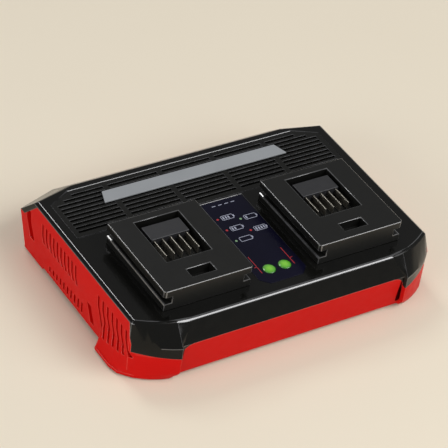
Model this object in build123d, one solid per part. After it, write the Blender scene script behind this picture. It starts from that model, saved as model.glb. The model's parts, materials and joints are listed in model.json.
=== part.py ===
"""Twin-bay charger for slide-on power tool batteries, as an assembly of separate parts.

Frame: millimetres. X runs along the long side, Y to the back, Z up. The origin is on the
table, under the middle of the body.
"""
import os
from math import cos, radians, tan

from build123d import *

os.makedirs("parts", exist_ok=True)

# ---------------------------------------------------------------- driving dimensions

# Body heights
corner_foot_clearance = 1.0  # underside of the corner feet above the table
floor_underside = 3.0        # underside of the housing between its feet
waist_height = 28.6          # parting line of the two shells
corner_dip = 8.8             # how far the top shell reaches below the waist at the front corners
corner_rim_drop = 6.6        # the same, where the front corners meet the end panels
deck_height = 44.0           # flat top of the top shell
deck_edge_break = 0.8        # bevel along the front and rear of the deck
deck_end_bevel = 1.8         # wider bevel along the end panels

# Body plan
end_half_width = 118.0       # centre to the end panels, at the waist
deck_end_setback = 2.5       # deck edge inside the end panels
bottom_end_setback = 1.0     # housing floor inside the end panels
front_depth = 86.0           # centre to the front face, at the waist
deck_front_setback = 7.2
deck_rear_setback = 17.4
bottom_front_setback = 2.7
bottom_rear_setback = 9.9

# Corners, seen from above
front_corner_depth = 69.5    # where the end panel stops, at the waist
deck_front_corner_setback = 4.0
corner_bevel = 4.0           # narrow facet at the upright corner edge
deck_corner_bevel = 1.2
corner_block_width = 29.7    # from the end panel to the inner side of the corner block
corner_block_proud = 2.3     # corner block in front of the front band
corner_bow = 1.5             # bulge of the corner block between its two ends
corner_bow_steps = 4
deck_shoulder_setback = 1.6  # deck edge behind the front line at the shoulder
deck_shoulder_run = 10.0
block_step_run = 1.0
band_end_radius = 8.5        # rounded upper end of the front band
rear_corner_depth = 78.5
deck_rear_corner_setback = 15.0
bottom_rear_corner_setback = 8.0

# Walls
wall = 2.6
floor_thickness = 2.4
rim_height = 2.4             # edge of the top shell above the end panels
front_rim = 3.0
rear_rim = 5.5
fit_gap = 0.15               # gap round inserted mouldings

# Corner feet
foot_flare = 5.6             # front feet reach out past the end panels
foot_toe_flare = 3.4         # the same, at the toe
foot_edge_height = 3.2
foot_edge_proud = 0.8        # upright edge strip stands out from the flare
foot_slant_run = 4.4         # the inner end of a foot slants up to the corner block
foot_under_run = 4.8         # the front of a foot runs back under the corner block
foot_under_height = 8.0
foot_top_height = 21.0
foot_rear_reach = 38.0       # length of a front foot along the end panel
rear_foot_reach = 26.0
rubber_foot_radius = 6.0
rubber_foot_inset_x = 12.5   # from the end panel
rubber_foot_inset_y = 23.0   # from the front or rear face
rubber_foot_recess = 1.2

# End panel vents: long slots at the front, short slots at the rear, small slots low down
vent_slot_width = 2.2
vent_lean = 24.0             # degrees, tops to the rear
long_slot_count = 7
long_slot_pitch = 6.0
long_slot_first = -27.0      # top of the slot next to the middle
long_slot_top = 34.5
long_slot_length_first = 24.0
long_slot_length_step = 1.1  # each slot towards the corner is shorter
short_slot_count = 10
short_slot_pitch = 5.05
short_slot_first = 4.5
short_slot_top = 35.5
short_slot_length = 12.5
low_slot_count = 10
low_slot_pitch = 4.9
low_slot_first = -9.0
low_slot_bottom = 6.2
low_slot_height = 8.0        # next to the front foot
low_slot_height_step = 0.42  # lower towards the rear
low_slot_width = 2.0
pocket_width = 5.0           # slanting pocket between the middle and the front foot
pocket_depth = 4.2
pocket_wall = 0.9
pocket_top = 20.5
pocket_length = 13.0
rear_pocket_width = 6.0
rear_pocket_top = 34.0
rear_pocket_length = 19.0
rear_pocket_inset = 9.5      # top of the pocket to the rear end of the panel

# Docks
dock_pitch = 119.0
dock_front = -66.0
dock_length = 75.0
dock_height = 16.0           # above the deck
plinth_half_width = 33.0
plinth_height = 5.6
rail_web_half_width = 27.3
rail_flange_half_width = 33.6
rail_flange_thickness = 5.4
rail_lead_in = 1.5
dock_spigot_half_width = 24.0
dock_spigot_inset = 6.0      # spigot ends inside the dock ends
dock_spigot_drop = 5.0       # below the deck
bay_half_width = 17.0        # terminal bay in the top of the dock
bay_front_inset = 26.0
bay_rear_inset = 6.0
bay_depth = 9.0
latch_pocket_half_width = 9.0
latch_pocket_inset = 7.0
latch_pocket_length = 8.0
latch_pocket_depth = 6.5
dock_screw_radius = 1.5
dock_screw_length = 9.0
dock_boss_radius = 3.9
dock_boss_inset = 5.0        # boss axes inside the spigot

# Contacts
carrier_length = 14.0
carrier_top_drop = 1.0       # below the top of the dock
blade_count = 5
blade_pitch = 6.2
blade_thickness = 0.8
blade_reach = 16.0           # in front of the carrier
blade_height = 6.0
blade_top_cover = 1.2        # carrier above the blades
blade_slot_gap = 0.02        # blades sit in close slots of the carrier
blade_tail = 2.0             # width of the tail that goes down to the board
carrier_end_gap = 2.6        # carrier inside the sides of the terminal bay
carrier_rear_gap = 5.2       # carrier in front of the rear of the terminal bay
carrier_drop = 0.4           # carrier below the underside of the dock spigot

# Console between the docks
label_half_width = 18.5
label_front_inset = 16.0     # from the front face to the label
label_louvre_gap = 2.0       # deck between the label and the louvre
label_corner_cut = 6.0
label_thickness = 0.8
label_recess = 0.6
status_spacing = 12.2
status_inset = 13.0          # from the front end of the label to the lights
status_radius = 4.5
status_proud = 0.9
lens_shoulder = 0.8
lens_shoulder_height = 1.2

# Rear louvre and trim strip
louvre_front = 20.0
louvre_rear_inset = 5.0      # from the rear edge of the deck
louvre_end_inset = 7.5       # from the ends of the deck
louvre_corner_cut = 18.0
louvre_height = 4.0
louvre_flange = 1.2
louvre_flange_thickness = 1.6
louvre_bar_pitch = 4.0
louvre_slot_width = 2.1
louvre_bridge = 4.0          # plain bars from front to rear
louvre_columns = 5
trim_half_width = 73.0
trim_front = 45.0
trim_depth = 11.0
trim_thickness = 1.1

# Housing screws
screw_post_radius = 4.2
screw_clearance_radius = 1.9
screw_thread_radius = 1.5
screw_head_radius = 3.1
screw_head_height = 2.2
screw_length = 24.0
screw_thread_gap = 0.05      # screws in their own bores
screw_recess_depth = 1.3
post_split_height = 25.0     # where the lower and upper posts meet
corner_post_inset_x = 24.0
front_corner_post_inset_y = 26.0
middle_front_post_inset_y = 14.5
rear_post_inset_y = 16.4     # the rear posts meet the slope behind the louvre
rear_post_top = 39.0

# Wall mounting keyholes
keyhole_spacing = 160.0
keyhole_y = 7.0
keyhole_entry_radius = 4.5
keyhole_slot_radius = 2.3
keyhole_slot_length = 9.0

# Mains cable inlet at the rear
inlet_x = -60.0
inlet_height = 15.0
gland_radius = 6.0
gland_flange_radius = 8.2
gland_flange = 1.8
gland_bore_radius = 3.4
gland_length = 16.0
gland_sink = 4.2             # gland flange inside the rear line, where the wall slopes in
gland_boss_rim = 1.2
gland_boss_length = 5.0

# Circuit board
board_half_width = 86.0
board_front = -59.0
board_rear = 55.0
board_thickness = 1.6
board_height = 10.0          # underside of the board
standoff_radius = 3.5
standoff_inset = 6.0
board_screw_radius = 1.4
board_screw_head_radius = 2.6
board_screw_head_height = 1.6
board_screw_length = 6.5

# Cooling fan
fan_size = 30.0
fan_thickness = 10.0
fan_y = 29.0
fan_wall_gap = 4.2
fan_guide = 2.0              # upright guides of the housing beside the fan
fan_guide_height = 16.0
fan_rim = 1.1                # least wall of the frame round its bore
fan_tip_gap = 0.5
fan_hub_radius = 6.5
fan_hub_length = 7.2
fan_blade_count = 7
fan_blade_thickness = 0.9
fan_blade_angle = 38.0
fan_pin_radius = 1.0
fan_pin_gap = 0.05
fan_pin_short = 1.0          # pin ends this far inside the front of the frame
fan_hub_gap = 0.6            # hub clear of the back plate
fan_blade_setback = 1.0      # vanes inside the ends of the hub, together
fan_strut_width = 2.0
fan_back_plate = 1.4
fan_mount_inset = 3.0        # mounting holes inside the sides of the frame
fan_mount_hole_radius = 1.6

# Status board
status_led_height = 1.6
status_led_radius = 2.5
status_board_half_width = 19.0
status_board_half_depth = 8.0
status_peg_x = 15.2
status_peg_radius = 1.2
rubber_foot_edge = 0.4

# Parts on the circuit board
transformer_x = 22.0
transformer_y = 18.0
core_width = 28.0
core_depth = 11.0
core_height = 22.0
core_limb = 6.0
coil_depth = 24.0
coil_lift = 2.0
bulk_capacitor_x = (-73.0, -50.0)
bulk_capacitor_y = -32.0
bulk_capacitor_radius = 9.0
bulk_capacitor_height = 24.0
output_capacitor_places = ((48.0, -32.0), (61.0, -32.0), (48.0, 16.0), (61.0, 16.0))
output_capacitor_radius = 5.0
output_capacitor_height = 18.0
mains_choke_place = (-58.0, 24.0)
mains_choke_radius = 10.0
mains_choke_bore = 4.5
mains_choke_height = 12.0
output_choke_places = ((76.0, -32.0), (76.0, 16.0))
output_choke_radius = 7.0
output_choke_bore = 3.0
output_choke_height = 8.0
mains_terminal_place = (-60.0, 47.0)
mains_terminal_size = (18.0, 10.0, 12.0)
mains_fuse_place = (-78.0, 24.0)
mains_fuse_size = (6.0, 22.0, 7.0)
filter_capacitor_place = (-36.0, 46.0)
filter_capacitor_size = (18.0, 8.0, 14.0)
bridge_end_inset = 6.0       # to the end of the board
bridge_y = 0.0
bridge_size = (4.0, 20.0, 15.0)
control_chip_place = (0.0, -30.0)
control_chip_size = (10.0, 10.0, 1.6)
relay_count = 2
relay_pitch = 20.0
relay_end_inset = 20.0       # middle of the last relay to the end of the board
relay_y = 42.0
relay_size = (15.0, 12.0, 14.0)
sink_x = 26.0
sink_y = -30.0
sink_plate = 2.0
sink_length = 36.0
sink_height = 22.0
sink_fin_pitch = 5.0
sink_fin_thickness = 1.2
sink_fin_reach = 6.0
device_body_thickness = 4.4
device_tab = 1.3
device_width = 10.0
device_lift = 5.0
device_leg_pitch = 2.5
device_spacing = 18.0

# ---------------------------------------------------------------- worked out from those

rear_depth = front_depth + corner_block_proud   # keeps the origin in the middle
deck_underside = deck_height - wall
floor_top = floor_underside + floor_thickness
deck_end = end_half_width - deck_end_setback
deck_front = front_depth - deck_front_setback
deck_rear = rear_depth - deck_rear_setback
dock_centres = {"left": -dock_pitch / 2, "right": dock_pitch / 2}
dock_rear = dock_front + dock_length
label_front = label_front_inset - front_depth
label_rear = louvre_front - label_louvre_gap
status_y = label_front + status_inset
dock_top = deck_height + dock_height
board_top = board_height + board_thickness
sides = {"left": -1, "right": 1}
through = 400.0              # longer than any part, for cutting tools


def save(name, shape):
    """Write one node's solids to its own file."""
    shape.label = name
    export_step(shape, f"parts/{name}.step")


def block(x0, x1, y0, y1, z0, z1):
    """Box between two corners."""
    return Pos((x0 + x1) / 2, (y0 + y1) / 2, (z0 + z1) / 2) * Box(x1 - x0, y1 - y0, z1 - z0)


def rod(x, y, z0, z1, radius):
    """Upright cylinder."""
    return Pos(x, y, (z0 + z1) / 2) * Cylinder(radius, z1 - z0)


def prism(points, z0, z1):
    """Upright prism on a plan outline."""
    return extrude(Pos(0, 0, z0) * Polygon(*points, align=None), z1 - z0, dir=(0, 0, 1))


def mirrored(points):
    """Right-hand outline points, front to rear, closed round the left-hand side."""
    return points + [(-x, y) for x, y in reversed(points)]


# ---------------------------------------------------------------- outer form of the body

def bowed(start, end):
    """Points of an outline between two corners, on a shallow bow that bulges to the front."""
    points = []
    for i in range(1, corner_bow_steps):
        share = i / corner_bow_steps
        x = start[0] + (end[0] - start[0]) * share
        y = start[1] + (end[1] - start[1]) * share - 4 * corner_bow * share * (1 - share)
        points.append((x, y))
    return points


def block_front(z):
    """Front of the corner blocks and feet: it runs back under them near the table."""
    under = max(0.0, foot_under_height - z) / (foot_under_height - corner_foot_clearance)
    return front_depth + corner_block_proud - foot_under_run * under


def section(z, inset, end, front, rear, corner, bevel, shoulder_y, band_x, rear_corner):
    """Level outline of the body. The shoulder is the inner front corner of the corner block."""
    shoulder = (end_half_width - corner_block_width - inset, -shoulder_y + inset)
    edge = (end - bevel - inset, -corner - bevel + inset)
    right = [
        (band_x - inset, -front + inset),
        shoulder,
        *bowed(shoulder, edge),
        edge,
        (end - inset, -corner + inset),
        (end - inset, rear_corner - inset),
        (end - corner_block_width - inset, rear - inset),
    ]
    return Pos(0, 0, z) * Polygon(*mirrored(right), align=None)


def lower_section(z, inset):
    """Outline on the walls between the housing floor and the waist."""
    share = (waist_height - z) / (waist_height - floor_underside)
    band = end_half_width - corner_block_width - block_step_run
    return section(z, inset, end_half_width - bottom_end_setback * share,
                   front_depth - bottom_front_setback * share,
                   rear_depth - bottom_rear_setback * share,
                   front_corner_depth, corner_bevel, block_front(z), band,
                   rear_corner_depth - bottom_rear_corner_setback * share)


def upper_section(z, inset, end_inset):
    """Outline on the sloping walls between the waist and the deck."""
    share = (z - waist_height) / (deck_height - waist_height)

    def between(low, high):
        return low + (high - low) * share

    shoulder = between(block_front(waist_height), deck_front - deck_shoulder_setback)
    band = end_half_width - corner_block_width - between(block_step_run, deck_shoulder_run)
    return section(z, inset, between(end_half_width, deck_end) - (end_inset - inset),
                   between(front_depth, deck_front), between(rear_depth, deck_rear),
                   front_corner_depth - between(0, deck_front_corner_setback),
                   between(corner_bevel, deck_corner_bevel), shoulder, band,
                   rear_corner_depth - between(0, deck_rear_corner_setback))


def body_envelope():
    """Outside of both shells together, without the feet."""
    return loft([
        lower_section(floor_underside, 0),
        lower_section(foot_under_height, 0),
        upper_section(waist_height, 0, 0),
        upper_section(deck_height - deck_end_bevel, 0, 0),
        upper_section(deck_height - deck_edge_break, 0, deck_end_bevel - deck_edge_break),
        upper_section(deck_height, deck_edge_break, deck_end_bevel),
    ], ruled=True)


def body_cavity():
    """Space inside both shells."""
    return loft([
        lower_section(floor_top, wall),
        lower_section(foot_under_height, wall),
        upper_section(waist_height, wall, wall),
        upper_section(deck_underside, wall, wall),
    ], ruled=True)


def front_foot(side):
    """Flared corner foot of the housing, at the front."""
    end = end_half_width
    inner = end - corner_block_width
    reach = -front_corner_depth + foot_rear_reach

    def outline(z, toe, flare):
        under = max(0.0, foot_under_height - z) / (foot_under_height - corner_foot_clearance)
        start = (inner + foot_slant_run * under, -block_front(z))
        edge = (end - corner_bevel, -front_corner_depth - corner_bevel)
        points = [
            start, *bowed(start, edge), edge,
            (end + toe, -front_corner_depth + corner_bevel),
            (end + flare, -front_corner_depth + 3 * corner_bevel),
            (end + flare, reach - 2 * corner_bevel), (end - wall, reach),
            (start[0], start[1] + 2 * corner_block_width),
        ]
        return Pos(0, 0, z) * Polygon(*[(side * x, y) for x, y in points], align=None)

    def flared(z):
        share = (foot_top_height - z) / (foot_top_height - foot_edge_height)
        return outline(z, (foot_toe_flare - foot_edge_proud) * share,
                       (foot_flare - foot_edge_proud) * share)

    edge_strip = loft([outline(corner_foot_clearance, foot_toe_flare, foot_flare),
                       outline(foot_edge_height, foot_toe_flare, foot_flare)], ruled=True)
    flare = loft([flared(foot_edge_height), flared(foot_under_height),
                  flared(foot_top_height)], ruled=True)
    return edge_strip + flare


def rear_foot(side):
    """Straight corner foot of the housing, at the rear."""
    end = end_half_width - bottom_end_setback
    inner = end - corner_block_width
    rear = rear_depth - bottom_rear_setback
    corner = rear_corner_depth - bottom_rear_corner_setback
    plan = [(inner, rear - 1), (end, corner), (end, corner - rear_foot_reach),
            (inner, corner - rear_foot_reach)]
    return prism([(side * x, y) for x, y in plan], corner_foot_clearance, floor_top)


def housing_zone():
    """All the space that belongs to the lower housing: it ends where the top shell starts."""
    inner = end_half_width - corner_block_width
    dip = waist_height - corner_dip
    outer = end_half_width - corner_bevel
    step = inner - block_step_run
    rim = waist_height - corner_rim_drop
    profile = [(through, -through), (through, rim), (outer, rim),
               (inner, dip), (step, dip), (step, waist_height)]
    profile += [(-x, z) for x, z in reversed(profile)]
    face = Plane.XZ * Polygon(*profile, align=None)
    band_ends = [v for v in face.vertices()
                 if abs(abs(v.X) - step) < 0.01 and v.Z > dip + 0.01]
    face = fillet(band_ends, band_end_radius)
    front_zone = extrude(face, through, dir=(0, -1, 0))
    rear_zone = block(-through, through, 0, through, -through, waist_height)
    front_top = front_corner_depth - deck_front_corner_setback - front_rim / 2
    rear_top = rear_corner_depth - deck_rear_corner_setback - rear_rim / 2
    panel = [(-front_corner_depth - corner_bevel + front_rim, rim - 1),
             (-front_corner_depth - corner_bevel + front_rim, waist_height),
             (-front_top, deck_height - rim_height), (rear_top, deck_height - rim_height),
             (rear_corner_depth - rear_rim, waist_height),
             (rear_corner_depth - rear_rim, rim - 1)]
    zone = front_zone + rear_zone
    for side in sides.values():
        face = Plane.YZ.offset(side * (deck_end - wall)) * Polygon(*panel, align=None)
        zone = zone + extrude(face, through, dir=(side, 0, 0))
    return zone


def screw_posts():
    """Places of the six screw posts."""
    x = end_half_width - corner_post_inset_x
    places = []
    for side in sides.values():
        places.append((side * x, -front_depth + front_corner_post_inset_y))
        places.append((side * x, rear_depth - rear_post_inset_y))
    places.append((0, -front_depth + middle_front_post_inset_y))
    places.append((0, rear_depth - rear_post_inset_y))
    return places


# ---------------------------------------------------------------- end panel vents

def leaning_slot(top_y, top_z, length, width, side, depth_from, depth_to):
    """Slot through an end panel. Its top leans to the rear."""
    lean = length * tan(radians(vent_lean))
    half = width / 2
    profile = [(top_y - half, top_z), (top_y + half, top_z),
               (top_y - lean + half, top_z - length), (top_y - lean - half, top_z - length)]
    start = Plane.YZ.offset(side * depth_from)
    return extrude(start * Polygon(*profile, align=None), depth_to - depth_from, dir=(side, 0, 0))


def end_vents(side):
    """All openings of one end panel."""
    inside = deck_end - 3 * wall
    outside = end_half_width + 2 * foot_flare
    cuts = []
    for i in range(long_slot_count):
        length = long_slot_length_first - i * long_slot_length_step
        cuts.append(leaning_slot(long_slot_first - i * long_slot_pitch, long_slot_top, length,
                                 vent_slot_width, side, inside, outside))
    for i in range(short_slot_count):
        cuts.append(leaning_slot(short_slot_first + i * short_slot_pitch, short_slot_top,
                                 short_slot_length, vent_slot_width, side, inside, outside))
    for i in range(low_slot_count):
        y = low_slot_first + i * low_slot_pitch
        height = low_slot_height - i * low_slot_height_step
        x0, x1 = sorted((side * inside, side * outside))
        cuts.append(block(x0, x1, y - low_slot_width / 2, y + low_slot_width / 2,
                          low_slot_bottom, low_slot_bottom + height))
    return cuts


def end_pockets(side, grow, deeper, outside):
    """Deep slanting pockets beside the vents, or with grow and deeper the walls round them."""
    skin = end_half_width - pocket_depth - deeper
    front_y = long_slot_first + 2 * vent_slot_width + pocket_width
    rear_y = rear_corner_depth - rear_pocket_inset
    return [
        leaning_slot(front_y, pocket_top + grow, pocket_length + 2 * grow,
                     pocket_width + 2 * grow, side, skin, outside),
        leaning_slot(rear_y, rear_pocket_top + grow, rear_pocket_length + 2 * grow,
                     rear_pocket_width + 2 * grow, side, skin, outside),
    ]


# ---------------------------------------------------------------- lower housing

def inlet_rod(y0, y1, radius):
    """Cylinder along Y on the axis of the mains inlet."""
    return Pos(inlet_x, (y0 + y1) / 2, inlet_height) * Rot(90, 0, 0) * Cylinder(radius, y1 - y0)


def gland_seat():
    """Y of the flat that the gland flange sits on."""
    return rear_depth - gland_sink - gland_flange


def add_inlet(shell):
    """Round boss inside the rear wall, with a seat and a hole for the cable gland."""
    seat = gland_seat()
    shell = shell + inlet_rod(seat - gland_boss_length, seat,
                              gland_flange_radius + gland_boss_rim)
    shell = shell - inlet_rod(seat, rear_depth + 1, gland_flange_radius + fit_gap)
    return shell - inlet_rod(0, rear_depth + 1, gland_radius + fit_gap)


def keyhole(x):
    """Keyhole for a wall screw: the round entry is at the front."""
    entry = rod(x, keyhole_y, 0, floor_top + 1, keyhole_entry_radius)
    slot = block(x - keyhole_slot_radius, x + keyhole_slot_radius,
                 keyhole_y, keyhole_y + keyhole_slot_length, 0, floor_top + 1)
    end = rod(x, keyhole_y + keyhole_slot_length, 0, floor_top + 1, keyhole_slot_radius)
    return entry + slot + end


def rubber_foot_places():
    """Centres of the four rubber feet."""
    x = end_half_width - rubber_foot_inset_x
    places = []
    for side in sides.values():
        places.append((side * x, -front_depth + rubber_foot_inset_y))
        places.append((side * x, rear_depth - bottom_rear_setback - rubber_foot_inset_y))
    return places


def standoff_places():
    """Centres of the board standoffs."""
    x = board_half_width - standoff_inset
    return [(sx * x, y) for sx in (-1, 1)
            for y in (board_front + standoff_inset, board_rear - standoff_inset)]


def lower_housing(envelope, cavity, zone):
    """Red moulding: floor, end panels, front band, feet, posts and standoffs."""
    feet = [front_foot(side) for side in sides.values()]
    feet += [rear_foot(side) for side in sides.values()]
    outer = envelope
    for foot in feet:
        outer = outer + foot
    shell = (outer - cavity) & zone
    for x, y in screw_posts():
        shell = shell + rod(x, y, floor_underside, post_split_height, screw_post_radius)
    for x, y in standoff_places():
        shell = shell + rod(x, y, floor_underside, board_height, standoff_radius)
    for guide in fan_guides():
        shell = shell + guide
    for side in sides.values():
        for pocket in end_pockets(side, pocket_wall, pocket_wall, end_half_width):
            shell = shell + (pocket & envelope & zone)
    for x, y in screw_posts():
        shell = shell - rod(x, y, 0, through, screw_clearance_radius)
        shell = shell - rod(x, y, 0, floor_underside + screw_head_height + fit_gap,
                            screw_head_radius + fit_gap)
    for x, y in standoff_places():
        shell = shell - rod(x, y, floor_top, board_height + 1, board_screw_radius)
    for side in sides.values():
        beyond = end_half_width + 2 * foot_flare
        for cut in end_vents(side) + end_pockets(side, 0, 0, beyond):
            shell = shell - cut
    for x in (-keyhole_spacing / 2, keyhole_spacing / 2):
        shell = shell - keyhole(x)
    for x, y in rubber_foot_places():
        shell = shell - rod(x, y, 0, corner_foot_clearance + rubber_foot_recess,
                            rubber_foot_radius + fit_gap)
    return add_inlet(shell)


# ---------------------------------------------------------------- top shell

def louvre_outline(grow):
    """Right-hand plan points of the rear louvre."""
    x = deck_end - louvre_end_inset + grow
    front = louvre_front - grow
    rear = deck_rear - louvre_rear_inset + grow
    cut = louvre_corner_cut
    return mirrored([(x, front), (x, rear - cut / 2), (x - cut, rear)])


def label_outline(grow):
    """Right-hand plan points of the console label, with cut front corners."""
    x = label_half_width + grow
    front = label_front - grow
    cut = label_corner_cut
    return mirrored([(x - cut, front), (x, front + cut), (x, label_rear + grow)])


def status_places():
    """Centres of the two status lights."""
    return {"left": (-status_spacing / 2, status_y), "right": (status_spacing / 2, status_y)}


def dock_spigot(x, grow):
    """Plan limits of the part of a dock that goes down through the deck."""
    half = dock_spigot_half_width + grow
    return (x - half, x + half, dock_front + dock_spigot_inset - grow,
            dock_rear - dock_spigot_inset + grow)


def top_shell(envelope, cavity, zone):
    """Black moulding with openings for docks, louvre, label and status lights."""
    shell = (envelope - cavity) - zone
    for x, y in screw_posts():
        top = deck_underside + wall / 2 if y < 0 else rear_post_top
        post = rod(x, y, post_split_height, top, screw_post_radius) & envelope
        bore = rod(x, y, 0, floor_underside + screw_length + 1, screw_thread_radius)
        shell = (shell + post) - bore
    for peg in status_pegs():
        shell = shell + peg
    shell = shell - prism(louvre_outline(fit_gap), waist_height, through)
    shell = shell - prism(label_outline(fit_gap), deck_height - label_recess, through)
    for x, y in status_places().values():
        shell = shell - rod(x, y, waist_height, through, status_radius + fit_gap)
    for x in dock_centres.values():
        x0, x1, y0, y1 = dock_spigot(x, fit_gap)
        shell = shell - block(x0, x1, y0, y1, waist_height, through)
    return shell


def rear_louvre():
    """Black insert of bars along X, with a flange under the deck."""
    rear = deck_rear - louvre_rear_inset
    x_end = deck_end - louvre_end_inset
    insert = prism(louvre_outline(0), deck_height - louvre_height, deck_height)
    flange = prism(louvre_outline(louvre_flange), deck_underside - louvre_flange_thickness,
                   deck_underside)
    insert = insert + flange
    usable = rear - louvre_front - 2 * louvre_bridge
    rows = int(usable // louvre_bar_pitch) + 1
    column = (2 * x_end - louvre_bridge) / louvre_columns
    for row in range(rows):
        y = louvre_front + louvre_bridge + row * louvre_bar_pitch
        for col in range(louvre_columns):
            x0 = -x_end + louvre_bridge + col * column
            x1 = x0 + column - louvre_bridge
            spare = max(0.0, y + louvre_bar_pitch - (rear - louvre_corner_cut / 2)) * 2
            x0 = max(x0, -x_end + louvre_bridge + spare)
            x1 = min(x1, x_end - louvre_bridge - spare)
            insert = insert - block(x0, x1, y, y + louvre_slot_width, 0, through)
    return insert


# ---------------------------------------------------------------- docks and contacts

def dock(x):
    """Black cradle with a rail on each side, a terminal bay and a latch pocket."""
    web_top = dock_top - rail_flange_thickness
    plinth_top = deck_height + plinth_height
    ends = (dock_front, dock_rear)
    body = block(x - plinth_half_width, x + plinth_half_width, *ends, deck_height, plinth_top)
    body += block(x - rail_web_half_width, x + rail_web_half_width, *ends, plinth_top, web_top)
    flange = [(x - rail_flange_half_width, dock_front + rail_lead_in),
              (x - rail_flange_half_width + rail_lead_in, dock_front),
              (x + rail_flange_half_width - rail_lead_in, dock_front),
              (x + rail_flange_half_width, dock_front + rail_lead_in),
              (x + rail_flange_half_width, dock_rear), (x - rail_flange_half_width, dock_rear)]
    body += prism(flange, web_top, dock_top)
    x0, x1, y0, y1 = dock_spigot(x, 0)
    body += block(x0, x1, y0, y1, deck_height - dock_spigot_drop, deck_height)
    body -= block(x - bay_half_width, x + bay_half_width, dock_front + bay_front_inset,
                  dock_rear - bay_rear_inset, dock_top - bay_depth, through)
    body -= block(x - latch_pocket_half_width, x + latch_pocket_half_width,
                  dock_front + latch_pocket_inset,
                  dock_front + latch_pocket_inset + latch_pocket_length,
                  dock_top - latch_pocket_depth, through)
    hollow_top = dock_top - bay_depth - wall
    body -= block(x - dock_spigot_half_width + wall, x + dock_spigot_half_width - wall,
                  y0 + wall, y1 - wall, 0, hollow_top)
    for px, py in dock_screw_places(x):
        body += rod(px, py, deck_height - dock_spigot_drop, hollow_top, dock_boss_radius)
    for px, py in dock_screw_places(x):
        body -= rod(px, py, 0, deck_height - dock_spigot_drop + dock_screw_length,
                    dock_screw_radius)
    cx0, cx1, cy0, cy1 = carrier_limits(x)
    body -= block(cx0 - fit_gap, cx1 + fit_gap, cy0 - fit_gap, cy1 + fit_gap, 0, through)
    return body


def dock_screw_places(x):
    """Centres of the four screw bosses inside a dock."""
    x0, x1, y0, y1 = dock_spigot(x, 0)
    inset = dock_boss_inset
    return [(px, py) for px in (x0 + inset, x1 - inset) for py in (y0 + inset, y1 - inset)]


def carrier_limits(x):
    """Plan limits of a contact carrier: it stands at the rear of the terminal bay."""
    rear = dock_rear - bay_rear_inset - carrier_rear_gap
    half = bay_half_width - carrier_end_gap
    return x - half, x + half, rear - carrier_length, rear


def blade_places(x):
    """X of each contact blade of a dock."""
    first = x - blade_pitch * (blade_count - 1) / 2
    return [first + i * blade_pitch for i in range(blade_count)]


def blade_profile_box(bx, y0, y1, z0, z1, gap):
    """Flat blade stretch, with a gap all round when it is a cutting tool."""
    half = blade_thickness / 2 + gap
    return block(bx - half, bx + half, y0 - gap, y1 + gap, z0 - gap, z1 + gap)


def blade(x_blade, x, gap=0.0):
    """One contact: a flat tongue in front of the carrier and a tail down to the board."""
    cy0, cy1 = carrier_limits(x)[2:]
    tongue_top = dock_top - carrier_top_drop - blade_top_cover
    tongue_bottom = tongue_top - blade_height
    tongue = blade_profile_box(x_blade, cy0 - blade_reach, cy0 + carrier_length / 2,
                               tongue_bottom, tongue_top, gap)
    tail_y = cy0 + carrier_length / 2
    tail = blade_profile_box(x_blade, tail_y - blade_tail, tail_y, board_top,
                             tongue_top, gap)
    return tongue + tail


def contact_carrier(x):
    """Insulating block that holds the blades of one dock."""
    x0, x1, y0, y1 = carrier_limits(x)
    top = dock_top - carrier_top_drop
    body = block(x0, x1, y0, y1, deck_height - dock_spigot_drop - carrier_drop, top)
    for bx in blade_places(x):
        body -= blade(bx, x, gap=blade_slot_gap)
    return body


# ---------------------------------------------------------------- cooling fan

def fan_limits():
    """X limits of the fan and the height of its axis."""
    x0 = -end_half_width + wall + fan_wall_gap
    return x0, x0 + fan_thickness, floor_top + fan_size / 2


def fan_guides():
    """Uprights of the housing floor that the fan slides down between."""
    x0, x1, zc = fan_limits()
    half = fan_size / 2 + fit_gap
    top = floor_top + fan_guide_height
    return [block(x0, x1, fan_y + half, fan_y + half + fan_guide, floor_underside, top),
            block(x0, x1, fan_y - half - fan_guide, fan_y - half, floor_underside, top)]


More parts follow.
